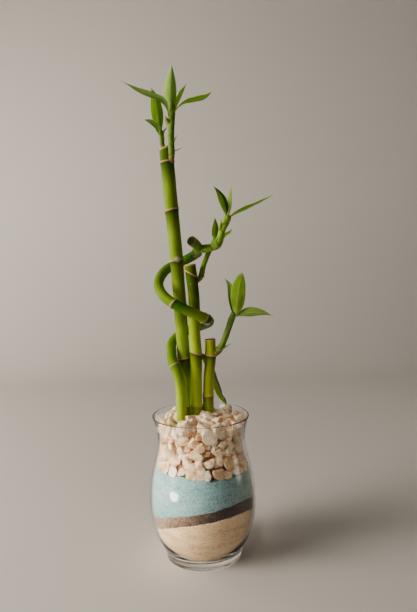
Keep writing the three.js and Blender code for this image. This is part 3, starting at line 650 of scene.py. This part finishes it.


# The gravel: crushed cream marble, most of it 5 to 12 mm, packed against the glass and heaped round the
# canes. Behind the outer stones lies a rough packed mass of the same stone, which shows only between them;
# its darker brown is painted shade for the gaps.
STONE_SIZE = (4.6, 8.6)                 # from a stone's middle, before its cuts
STONE_STRETCH = (0.72, 1.18)
STONE_SPACING = 8.0
GRAVEL_EDGE = 141.0
GRAVEL_MOUND = 5.5
MOUND_RADIUS = 34.0
GRAVEL_SEED = 12
BLOCK_CUTS = (0.52, 0.72)
CORNER_CUTS = (0.62, 0.85)
STONE_CORNERS = 10
STONE_ROUGHNESS = 0.10
LOWEST_STONES, LOWEST_RADIUS, LOWEST_HEIGHT = 31, 44.5, 3.4
BELT_RADIUS, BELT_FOOT, BELT_HEIGHT = 44, 102.5, 44.0
BELTS = ((4.9, 1.0), (12.0, 1.12))      # depth behind the glass, and how much wider the stones are spaced
HEAP_WIDTH, HEAP_RADIUS = 84.0, 38.0
HEAP_LAYERS = ((-2.6, 1.0), (-8.5, 1.15))   # height over the heap's top, and the same
BACK_STONE, BACK_STONE_SIZE, BACK_STONE_ROOM = (27.0, 27.0, 141.0), 8.0, 9
CANE_ROOM = 2.2                         # least distance from a cane's skin to a stone's middle
CANE_CLEARANCE, CLEARED_BELOW = 0.45, 160
GLASS_CLEARANCE = 0.2
SUNK_IN_SAND = 0.6
CORE_DEPTH, CORE_REACH = 9.0, 0.87      # depth below the heap's top, and share of the vase's inner radius
ODD_SHARE, ODD_SHADE = 0.05, 1.5


def gravel_top(x, y):
    """Level at the glass, higher round the canes."""
    out = np.minimum(1, np.hypot(x + 2, y) / MOUND_RADIUS)
    return GRAVEL_EDGE + GRAVEL_MOUND * (1 - out * out)


def scattered(random, wide, high, spacing):
    """Points of a flat strip that joins on itself sideways, thrown at random and kept if clear of the others,
    closer as the strip fills."""
    kept = np.empty((0, 2))
    for near in (1.0, 0.9, 0.8):
        for thrown in random.random((1800, 2)) * [wide, high]:
            apart = np.abs(kept - thrown)
            apart[:, 0] = np.minimum(apart[:, 0], wide - apart[:, 0])
            if (np.hypot(*apart.T) > spacing * near).all():
                kept = np.vstack([kept, thrown])
    return kept


def stone_places(random):
    """Centres of the stones: a row on the sand, two belts behind the glass, and two layers of the heap."""
    places = []
    shifts = random.uniform(-0.04, 0.04, LOWEST_STONES)
    for angle in np.linspace(0, 2 * math.pi, LOWEST_STONES, endpoint=False) + shifts:
        x, y = LOWEST_RADIUS * math.cos(angle), LOWEST_RADIUS * math.sin(angle)
        places.append((x, y, float(blue_top(x, y)) + LOWEST_HEIGHT + 1.4 * random.random()))
    for depth, wider in BELTS:
        strip = 2 * math.pi * BELT_RADIUS, BELT_HEIGHT
        for along, height in scattered(random, *strip, STONE_SPACING * wider):
            angle, z = along / BELT_RADIUS, BELT_FOOT + height
            radius = inside_radius(z) - depth
            if z < GRAVEL_EDGE - 2.0:
                places.append((radius * math.cos(angle), radius * math.sin(angle), z))
    for lift, wider in HEAP_LAYERS:
        for x, y in scattered(random, HEAP_WIDTH, HEAP_WIDTH, STONE_SPACING * wider) - HEAP_WIDTH / 2:
            if math.hypot(x, y) < HEAP_RADIUS:
                places.append((x, y, float(gravel_top(x, y)) + lift + 1.6 * random.random()))
    return np.array(places)


def stone_shapes(random, count):
    """Unit stones: a fine ball cut back by six planes of a skewed block and by more at random, so that it has
    flat faces and blunt edges, then roughened by waves that cross at random."""
    ball = bpy.data.meshes.new("ball")
    shape = bmesh.new()
    bmesh.ops.create_icosphere(shape, subdivisions=3, radius=1.0)
    shape.to_mesh(ball)
    shape.free()
    points = np.array([vertex.co for vertex in ball.vertices])
    faces = np.array([list(face.vertices) for face in ball.polygons])
    bpy.data.meshes.remove(ball)
    stones = np.broadcast_to(points, (count, *points.shape)).copy()
    for side in np.vstack([np.eye(3), -np.eye(3), np.zeros((STONE_CORNERS, 3))]):
        normal = 3.4 * side + random.normal(size=(count, 3))
        normal /= np.linalg.norm(normal, axis=1, keepdims=True)
        depth = random.uniform(*(BLOCK_CUTS if side.any() else CORNER_CUTS), (count, 1))
        proud = np.einsum("spc,sc->sp", stones, normal) - depth
        stones -= np.maximum(0, proud)[..., None] * normal[:, None, :] * 0.97
    lumps = np.sin(stones @ random.normal(size=(3, 3)) * 5 + random.uniform(0, 6, (count, 1, 3))).prod(2)
    return stones * (1 + STONE_ROUGHNESS * lumps[..., None]), faces


random = np.random.default_rng(GRAVEL_SEED)
places = stone_places(random)
for line, radius in cane_lines.values():
    apart = np.linalg.norm(places[:, None, :] - line[None, :, :], axis=2).min(1)
    places = places[apart > radius + CANE_ROOM]
places = np.vstack([places[np.linalg.norm(places - BACK_STONE, axis=1) > BACK_STONE_ROOM], BACK_STONE])

stones, stone_faces = stone_shapes(random, len(places))
sizes = random.uniform(*STONE_SIZE, len(places))
sizes[-1] = BACK_STONE_SIZE
stones *= sizes[:, None, None] * random.uniform(*STONE_STRETCH, (len(places), 1, 3))
turns = np.linalg.qr(random.normal(size=(len(places), 3, 3)))[0]
turns *= np.sign(np.linalg.det(turns))[:, None, None]
stones = np.einsum("spc,scd->spd", stones, turns) + places[:, None, :]

from_axis = np.hypot(stones[..., 0], stones[..., 1])
room_out = inside_radius(stones[..., 2]) - GLASS_CLEARANCE
pressed = np.minimum(1, room_out / np.maximum(from_axis, 1e-6))
stones[..., :2] *= pressed[..., None]
stones[..., 2] = np.maximum(stones[..., 2], blue_top(stones[..., 0], stones[..., 1]) - SUNK_IN_SAND)
for line, radius in cane_lines.values():
    nearest = line[np.abs(stones[..., 2, None] - line[:60, 2]).argmin(-1)]
    aside = stones[..., :2] - nearest[..., :2]
    apart = np.linalg.norm(aside, axis=2)
    held_off = np.maximum(apart, radius + CANE_CLEARANCE) / np.maximum(apart, 1e-6)
    low = (stones[..., 2] < CLEARED_BELOW)[..., None]
    stones[..., :2] = np.where(low, nearest[..., :2] + aside * held_off[..., None], stones[..., :2])

marble, node = new_material("crushed_cream_marble")
coords = node("TexCoord", {}, "Object")
shade = node("Attribute", {}, "Fac", attribute_name="shade")
veins = node("TexNoise", {"Vector": coords, "Scale": 260.0, "Detail": 4.0})
stain = node("TexNoise", {"Vector": coords, "Scale": 130.0, "Detail": 5.0})
stained = node("MapRange", {"Value": stain, "From Min": 0.48, "From Max": 0.66, "To Max": 0.85})
odd = node("MapRange", {"Value": shade, "From Min": 1.1, "From Max": 1.4})
veined = node("MapRange", {"Value": veins, "From Min": 0.4, "From Max": 0.75, "To Max": 0.35})
colour = node("MixRGB", {"Fac": shade, "Color1": "#FFEED4", "Color2": "#F2D0A4"})
for share, tint in ((stained, "#DAAA7A"), (odd, "#C8AA88"), (veined, "#C4986C")):
    colour = node("MixRGB", {"Fac": share, "Color1": colour, "Color2": tint})
relief = node("Bump", {"Height": stain, "Strength": 1.0, "Distance": 1.8 * MM})
shader = node("BsdfPrincipled", {
    "Base Color": colour, "Roughness": 0.62, "Normal": relief,
    "Subsurface Weight": 0.35, "Subsurface Radius": (1.0, 0.6, 0.35), "Subsurface Scale": 3.0 * MM})
node("OutputMaterial", {"Surface": shader})

per_stone = stones.shape[1]
numbering = (np.arange(len(stones)) * per_stone)[:, None, None]
gravel = new_object(
    "gravel_stones", stones.reshape(-1, 3) * MM, (stone_faces[None] + numbering).reshape(-1, 3), marble)
gravel.data.set_sharp_from_angle(angle=math.radians(20))
stone_shade = random.random(len(stones)) ** 1.6
stone_shade[random.random(len(stones)) < ODD_SHARE] = ODD_SHADE
stone_shade[-1] = 0.0
gravel.data.attributes.new("shade", "FLOAT", "POINT").data.foreach_set(
    "value", np.repeat(stone_shade, per_stone).astype(np.float32))
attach(gravel, "root")
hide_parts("gravel")


def core_rings():
    """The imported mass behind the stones: the sand's ring formula, drawn in from the glass and down from the
    top."""
    rings = sand_rings(lambda x, y: blue_top(x, y) + 0.3, lambda x, y: gravel_top(x, y) - CORE_DEPTH, 24)
    rings[..., :2] *= CORE_REACH
    rings[..., 2] += 0.6 * np.sin(rings[..., 0] / 2.1) * np.cos(rings[..., 1] / 2.6)
    return rings


core_marble, node = new_material("shaded_marble_fill")
coords = node("TexCoord", {}, "Object")
lumps = node("TexVoronoi", {"Vector": coords, "Scale": 160.0})
# Painted shade: darker browns than the stones, for the shade deep in the gaps between them.
colour = node("MixRGB", {"Fac": lumps, "Color1": "#BE946C", "Color2": "#80583C"})
shader = node("BsdfPrincipled", {"Base Color": colour, "Roughness": 0.9})
node("OutputMaterial", {"Surface": shader})
core = new_object("gravel_packing", *closed_skin(core_rings() * MM), core_marble)
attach(core, "root")


# The shoots: young stems that grow out beside a node, wrapped in overlapping leaf sheaths whose upper edges
# dry to tan. A few sheaths have lost their leaf and end in a small dry bract.
SHOOTS = {
    # line, radii along it, sheath edges as (distance, slant, direction it rises to), length of the reddish
    # base, finish
    "shoot_tall_main": (
        [(-22.6, 1.5, 397), (-21.9, -1.6, 403), (-21.6, -2.6, 412), (-21.8, -1, 422), (-21.3, 0, 433),
         (-20.3, 1, 446), (-19.9, 2, 454)],
        (2.5, 3.2, 3.1, 3.1, 3.2, 3.5, 2.7),
        [(7.5, 1.6, 0), (15, 2.4, 180), (30, 2.0, 0), (43, 2.5, 180)], 9, "deep",
    ),
    "shoot_tall_side": (
        [(-29.4, 8, 399), (-30.4, 12.6, 404), (-31.2, 13.6, 412), (-32, 13.4, 421), (-32.8, 13, 432)],
        (2.2, 2.6, 2.4, 2.3, 1.9),
        [(9, 1.2, 180), (20, 1.4, 0)], 4, "deep",
    ),
    "shoot_curly": (
        [(1.4, 2, 311), (4.8, 1.4, 311.6), (9.7, 0, 311.7), (15.6, -1, 312.8), (20.6, -2, 315.8),
         (23.8, -2, 321.1), (25.6, -2, 327.5), (29.1, -2, 336.2), (33.2, -2, 343.5)],
        (3.4, 3.8, 4.1, 4.0, 3.6, 4.5, 4.8, 4.5, 3.7, 3.3, 3.2, 3.3, 3.7, 4.0, 3.9, 3.0),
        [(5.5, 0.8, 0), (13.5, 0.6, 0), (22.5, 2.2, 90), (32, 2.2, 180), (42, 2.2, 0)], 2, "fresh",
    ),
    "shoot_middle": (
        [(-0.6, -3, 279.4), (3.4, -1, 283.4), (6.1, 4, 292.4), (8.8, 9, 300.4), (12.4, 13, 308.5),
         (16.0, 14, 315.6), (19.2, 13.5, 322.6)],
        (2.4, 2.8, 2.6, 2.5, 2.5, 2.5, 2.1),
        [(5, 1.4, 0), (14, 1.6, 180), (27, 1.6, 0), (39, 1.6, 180)], 5, "fresh",
    ),
    "shoot_short": (
        [(13.6, 0, 205.6), (18.6, -1, 208.6), (22.7, -2, 213.9), (26.4, -2, 221.9), (30.2, -2, 231.8),
         (33.7, -2, 241.6), (36, -2, 247.4)],
        (3.6, 3.6, 3.1, 3.1, 3.1, 3.3, 2.8),
        [(4.5, 0.6, 0), (9.5, 1.8, 0), (28, 2.0, 180), (44.5, 0.8, 0)], 8, "deep",
    ),
}
BRACTS = {
    # line, width, the way the upper face looks at base and tip
    "shoot_tall_main_bract_left": ([(-22, -1, 431), (-25.2, -3.5, 436), (-27.3, -6, 441)], 6.2, (0, 1, 1)),
    "shoot_tall_main_bract_right": ([(-21, -1, 411), (-18.4, -3, 417), (-15.8, -4, 422.5)], 3.4, (-1, 0, 1)),
    "shoot_curly_bract": ([(23.6, -3, 324), (24.4, -5.5, 332), (25.5, -7, 340.2)], 3.4, (0, 1, 0)),
    "shoot_middle_bract": ([(1.5, -2, 280.5), (5, -3.2, 282.6), (8.3, -4, 284)], 4.0, (-1, 0, 1)),
    "shoot_short_bract": ([(21.5, -3, 209), (27, -5, 213), (32.1, -6, 216.7)], 5.0, (-1, 0, 1)),
    "shoot_tall_main_hair": ([(-19.4, -2.6, 407), (-15, -3.6, 408.6), (-9.3, -5, 410.6)], 1.1, (0, -1, 0.4)),
}
SHEATH_COLOURS = {"deep": ("#7E984C", "#5A7828"), "fresh": ("#A0C058", "#749C2C")}
SHOOT_SIDES = 26
SHEATH_PROUD, SHEATH_TAPER = 0.34, 6.0
SHEATH_RIBS = 9


def shoot_rings(line, radii, edges):
    """Rings of a sheathed stem, and per point: its place on the unrolled skin, and its distances below and
    above the nearest sheath edges.

    Radius = nominal + a sheath that thickens towards its upper edge and steps down past it + fine ribs.
    """
    path, run, frames, angle, over = stem_grid(
        line, edges, even=0.9, reach=3.5, fine=0.35, sides=SHOOT_SIDES)
    below_edge = np.where(over < 0, -over, 1e3).min(1)
    above_edge = np.where(over >= 0, over, 1e3).min(1)
    nominal = np.interp(run, np.linspace(0, run[-1], len(radii)), radii)[:, None]
    sheath = SHEATH_PROUD * np.exp(-below_edge / SHEATH_TAPER)
    ribs = 0.06 * np.sin(SHEATH_RIBS * angle)[None, :]
    rounded = np.sqrt(np.clip((run[-1] - run) / 1.5, 0, 1))[:, None] * 0.5 + 0.5
    points, skin = stem_surface(path, run, frames, angle, (nominal - 0.12 + sheath + ribs) * rounded)
    return points, {"skin": skin, "below_edge": below_edge, "above_edge": above_edge}


def sheath_material(name, light, main, base_length):
    """Young leaf sheath: smooth pale green with fine lengthwise ribs, painted shade just above each
    sheath edge, reddish where it leaves the cane, and a papery tan margin."""
    material, node = new_material(name)
    skin = node("Attribute", {}, "Vector", attribute_name="skin")
    below_edge = node("Attribute", {}, "Fac", attribute_name="below_edge")
    above_edge = node("Attribute", {}, "Fac", attribute_name="above_edge")
    run = node("SeparateXYZ", {"Vector": skin}, "Z")
    stretched = node("Mapping", {"Vector": skin, "Scale": (1, 1, 0.08)})
    ribs = node("TexNoise", {"Vector": stretched, "Scale": 1.4, "Detail": 2.0})
    ribbed = node("MapRange", {"Value": ribs, "From Min": 0.35, "From Max": 0.65})
    # Painted shade: darker green just above each sheath edge, where the next sheath comes out of it.
    painted_shade_above_edge = node("MapRange", {"Value": above_edge, "From Max": 3.0, "To Min": 0.6, "To Max": 0.0})
    base = node("MapRange", {
        "Value": run, "From Min": 0.3 * base_length, "From Max": base_length, "To Min": 0.75, "To Max": 0.0})
    reach = node("Math", {0: ribs, 1: -0.5, 2: 0.85}, operation="MULTIPLY_ADD")
    margin = node("Math", {0: below_edge, 1: reach}, operation="LESS_THAN")
    colour = node("MixRGB", {"Fac": ribbed, "Color1": main, "Color2": light})
    for share, tint in ((painted_shade_above_edge, "#3E5212"), (base, "#8C5A38"), (margin, "#B9A66C")):
        colour = node("MixRGB", {"Fac": share, "Color1": colour, "Color2": tint})
    relief = node("Bump", {"Height": ribs, "Strength": 0.3, "Distance": 0.2 * MM})
    shader = node("BsdfPrincipled", {"Base Color": colour, "Roughness": 0.42, "Normal": relief})
    node("OutputMaterial", {"Surface": shader})
    return material


BLADE_ACROSS = 15
BLADE_THICK, BASE_FOLD = 0.5, 0.35
RIB_PROUD, RIB_WIDTH = 0.22, 0.7


def blade_rings(line, width, facing, fold, widest, taper, steps=64):
    """Rings of a leaf blade, each once over its upper face and back over its lower one, and its attribute.

    Half width = width / 2 * (s / w)^(w t) * ((1 - s) / (1 - w))^((1 - w) t), with s the share along, w the
    widest place and t the taper, and never less than a clasping base. The edges rise by the fold times the
    distance from the midrib to the power 1.4, and the face turns evenly from its base to its tip direction.
    """
    path, run = smooth_line(line, steps)
    direction, _, _ = carried_frames(path)
    share = run / run[-1]
    face_base, face_tip = (np.asarray(side, float) for side in facing)
    face = face_base + (face_tip - face_base) * share[:, None]
    face -= direction * (face * direction).sum(1, keepdims=True)
    face /= np.linalg.norm(face, axis=1, keepdims=True)
    sideways = np.cross(face, direction)
    inner = np.clip(share, 1e-4, 1 - 1e-4)
    body = (inner / widest) ** (widest * taper) * ((1 - inner) / (1 - widest)) ** ((1 - widest) * taper)
    reach = width / 2 * np.maximum(np.maximum(body, 0.42 * (1 - share) ** 6), 0.035)

    over = np.cos(np.linspace(0, math.pi, BLADE_ACROSS))
    across = np.concatenate([over, -over])
    upper = np.repeat([1.0, -1.0], BLADE_ACROSS)
    half = BLADE_THICK / 2 * (0.25 + 0.75 * np.sqrt(1 - across ** 2)) * upper
    depth = (fold + np.sign(fold) * BASE_FOLD * (1 - share) ** 3)[:, None]
    share, reach = share[:, None], reach[:, None]
    rib = -RIB_PROUD * np.exp(-(across * reach / RIB_WIDTH) ** 2) * (upper < 0) * (1 - share)
    wave = 0.05 * reach * np.sin(share * 17 + 1.5 * across) * across ** 2
    lift = depth * reach * np.abs(across) ** 1.4 + wave
    points = (path[:, None, :] + sideways[:, None, :] * (reach * across)[..., None]
              + face[:, None, :] * (lift + half + rib)[..., None])
    return points, {"blade": np.stack(np.broadcast_arrays(share, across, run[-1]), 2)}


def leaf_material(name, light, main, tip_from=0.93, painted_shade_half=0.0):
    """Thin living leaf: satin green with fine parallel veins, a paler midrib and margins, a dry tan tip, and
    where asked one half darkened to brown by painted shade."""
    material, node = new_material(name)
    blade = node("Attribute", {}, "Vector", attribute_name="blade")
    share, across, _ = node("SeparateXYZ", {"Vector": blade}).node.outputs
    coords = node("TexCoord", {}, "Object")
    cloud = node("TexNoise", {"Vector": coords, "Scale": 120.0, "Detail": 3.0})
    along = node("Mapping", {"Vector": blade, "Scale": (2.0, 9.0, 1.0)})
    veins = node("TexNoise", {"Vector": along, "Scale": 1.0, "Detail": 4.0})
    veined = node("MapRange", {"Value": veins, "From Min": 0.36, "From Max": 0.64})
    clouded = node("MapRange", {"Value": cloud, "From Min": 0.45, "From Max": 0.7, "To Max": 0.4})
    at_base = node("MapRange", {"Value": share, "From Max": 0.22, "To Min": 0.55, "To Max": 0.0})
    from_rib = node("Math", {0: across}, operation="ABSOLUTE")
    on_rib = node("MapRange", {
        "Value": from_rib, "From Min": 0.03, "From Max": 0.12, "To Min": 0.35, "To Max": 0.0})
    on_margin = node("MapRange", {"Value": from_rib, "From Min": 0.9, "To Max": 0.5})
    pale = node("Math", {0: on_rib, 1: on_margin}, operation="MAXIMUM")
    ragged = node("Math", {0: cloud, 1: 0.06, 2: share}, operation="MULTIPLY_ADD")
    dry = node("MapRange", {
        "Value": ragged, "From Min": tip_from + 0.02, "From Max": tip_from + 0.06, "To Max": 0.9})
    # Painted shade: one half of the folded blade is drawn dark brown.
    half_in_painted_shade = node("MapRange", {"Value": across, "From Min": -0.1, "From Max": 0.05, "To Max": painted_shade_half})
    colour = node("MixRGB", {"Fac": veined, "Color1": main, "Color2": light})
    for part, tint in ((clouded, light), (at_base, "#B4BE6E"), (pale, "#BFC67A"),
                       (dry, "#B3A478"), (half_in_painted_shade, "#3A2420")):
        colour = node("MixRGB", {"Fac": part, "Color1": colour, "Color2": tint})
    relief = node("Bump", {"Height": veins, "Strength": 0.3, "Distance": 0.2 * MM})
    shader = node("BsdfPrincipled", {
        "Base Color": colour, "Roughness": 0.4, "Normal": relief, "Subsurface Weight": 0.3,
        "Subsurface Radius": (0.7, 1.0, 0.2), "Subsurface Scale": 1.2 * MM})
    node("OutputMaterial", {"Surface": shader})
    return material


for node_name, (line, radii, edges, base_length, finish) in SHOOTS.items():
    sheath = sheath_material("leaf_sheath_" + node_name, *SHEATH_COLOURS[finish], base_length)
    stem = grown_object(node_name + "_stem", *shoot_rings(line, radii, edges), sheath)
    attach(stem, "root")
    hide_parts(node_name)

dry_bract = leaf_material("drying_bract", "#93A04C", "#67822A", tip_from=0.72)
for name, (line, width, facing) in BRACTS.items():
    folded = blade_rings(line, width, (facing, facing), fold=0.5, widest=0.3, taper=1.6, steps=24)
    bract = grown_object(name, *folded, dry_bract)
    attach(bract, "root")


# The leaves: narrow lance-shaped blades, each clasping its shoot at the base and folded along its midrib. The
# upright and hanging ones turn their keeled backs outward, so their fold is negative.
LEAVES = {
    # line, width, facing at base and tip, fold, widest place, taper, finish
    "leaf_tall_upright": (
        [(-21.2, 1.5, 446), (-21.4, 0.6, 459), (-21.1, 0, 472), (-19.9, -1, 481.8), (-19, -2, 491.5)],
        12.8, ((0.15, -1, 0), (0.15, -1, 0)), -0.45, 0.45, 2.7, "pale",
    ),
    # Painted light: nearly edge-on to the window, this blade takes the pale finish to make up light it
    # misses.
    "leaf_tall_left": (
        [(-22.9, -0.8, 441.5), (-25, -3.4, 450.5), (-29.6, -6, 455.6), (-39.5, -9, 459.4),
         (-51.5, -12, 463.8), (-67.6, -16, 471.9)],
        7.2, ((0.1, -0.9, 0.4), (-0.4, -1, 0.35)), 0.2, 0.42, 2.9, "pale",
    ),
    "leaf_tall_inner_right": (
        [(-17.6, 3.8, 448.5), (-14.4, 7, 456.3), (-11.4, 9, 463.6), (-8.7, 10, 470.2), (-5.5, 11, 475.8)],
        11.5, ((-0.9, -0.7, 0.3), (-0.9, -0.7, 0.3)), 0.3, 0.42, 2.2, "deep",
    ),
    "leaf_tall_outer_right": (
        [(-17.8, -0.6, 445.7), (-13.6, -2, 449.7), (-7.1, -4, 452.6), (2.7, -7, 453.9), (13.4, -10, 456.4),
         (19.4, -12, 461.1)],
        8.6, ((-0.5, -0.6, 0.8), (0, -1, 0.45)), 0.35, 0.55, 3.0, "deep",
    ),
    "leaf_side_upright": (
        [(-33, 12.2, 430), (-34.7, 11.6, 440), (-36.3, 11, 451.1), (-37.9, 11, 462.9), (-41.1, 11, 473)],
        12, ((0, -1, 0), (0, -1, 0)), -0.2, 0.46, 2.0, "fresh",
    ),
    "leaf_side_left": (
        [(-34.2, 11.5, 427), (-36, 9, 433), (-40.6, 7, 437.2), (-48, 5, 440.3)],
        7.4, ((0, -0.9, 0.7), (-0.2, -1, 0.6)), 0.3, 0.5, 2.0, "pale",
    ),
    "leaf_side_right": (
        [(-29.6, 13, 421.5), (-29.6, 12, 428.6), (-26, 11, 434.4)],
        6.4, ((-1, -0.4, 0.4), (-1, -0.4, 0.4)), 0.35, 0.42, 2.0, "fresh",
    ),
    "leaf_curly_left": (
        [(30.6, -3.8, 341), (29.9, -4.6, 350.7), (27.4, -5.4, 358.9), (22.8, -6, 366.7), (18, -7, 372.2)],
        8.4, ((0.3, -1, 0.2), (0, -1, 0.2)), -0.35, 0.46, 2.8, "deep",
    ),
    "leaf_curly_upright": (
        [(32.4, -1.4, 343.5), (32.8, -2, 353.6), (33.8, -3, 362.2), (35.8, -4, 372)],
        6.4, ((-0.6, -0.9, 0), (-0.6, -0.9, 0)), -0.3, 0.42, 2.0, "pale",
    ),
    "leaf_curly_right": (
        [(34.6, -2.6, 342), (42.2, -3.4, 345.6), (52, -5, 349.8), (63.6, -8, 355.0), (76.2, -12, 361.3)],
        8.5, ((-0.5, -0.6, 0.9), (-0.4, -0.45, 1)), 0.25, 0.36, 1.8, "deep",
    ),
    "leaf_curly_low": (
        [(25.6, -4.6, 318.5), (29.7, -6, 323.7), (34.1, -8, 326.8), (35.6, -9, 330.4)],
        6, ((-0.6, -0.6, 1), (-1, -0.6, 0.4)), 0.35, 0.42, 2.0, "deep",
    ),
    "leaf_middle_tip": (
        [(19.8, 13, 320), (20.4, 12.6, 328.6), (20.2, 11.6, 335.6), (19.4, 10, 343.5)],
        8, ((0.5, -1, 0), (0.5, -1, 0)), -0.5, 0.38, 2.0, "fresh",
    ),
    "leaf_short_upright": (
        [(38, -3.6, 245), (39.5, -5.4, 256.8), (40.4, -7, 267.8), (42, -8, 277.7), (44.5, -8, 287)],
        14.6, ((-0.1, -1, 0.1), (-0.1, -1, 0.1)), -0.14, 0.48, 1.35, "bright",
    ),
    "leaf_short_left": (
        [(34.8, 1.2, 245.6), (35.2, 3, 256.5), (34.6, 4.6, 265.5), (32.4, 5.6, 274.6), (27.6, 6.2, 281.8)],
        8.6, ((0.3, -1, 0), (-0.5, -1, 0.3)), 0.3, 0.42, 2.0, "mid",
    ),
    "leaf_short_right": (
        [(38.4, -1.6, 243.6), (46.9, -3.4, 246), (55.8, -4.6, 247), (64.5, -5.6, 246.4), (74.4, -7, 243.2)],
        11.5, ((-0.3, -0.8, 0.9), (0, -1, 0.5)), 0.2, 0.38, 2.6, "mid",
    ),
    "leaf_hanging": (
        [(0.2, -0.4, 207.8), (7, 6, 201), (13.4, 18, 184.5), (17.8, 30, 169.4), (22.6, 42, 154.5),
         (26.0, 50.5, 146), (28.4, 55.5, 132)],
        10.0, ((0.2, -1, 0.6), (0.2, -1, 0.6)), -0.6, 0.42, 1.4, "hanging",
    ),
}
leaf_finishes = {
    "pale": leaf_material("young_leaf_pale", "#AECA76", "#90B056"),
    # The hanging leaf's dark half is painted shade.
    "hanging": leaf_material("leaf_half_in_painted_shade", "#B4D048", "#8CAE28", painted_shade_half=0.9),
    "mid": leaf_material("leaf_mid_green", "#98AC5E", "#728C3C"),
    "bright": leaf_material("leaf_yellow_green", "#8CA840", "#668A24"),
    "fresh": leaf_material("leaf_fresh_green", "#7E9E2C", "#567C20"),
    "deep": leaf_material("leaf_deep_green", "#648628", "#406216"),
}
for node_name, (line, width, facing, fold, widest, taper, finish) in LEAVES.items():
    folded = blade_rings(line, width, facing, fold, widest, taper)
    leaf = grown_object(node_name + "_blade", *folded, leaf_finishes[finish])
    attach(leaf, "root")
    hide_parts(node_name)
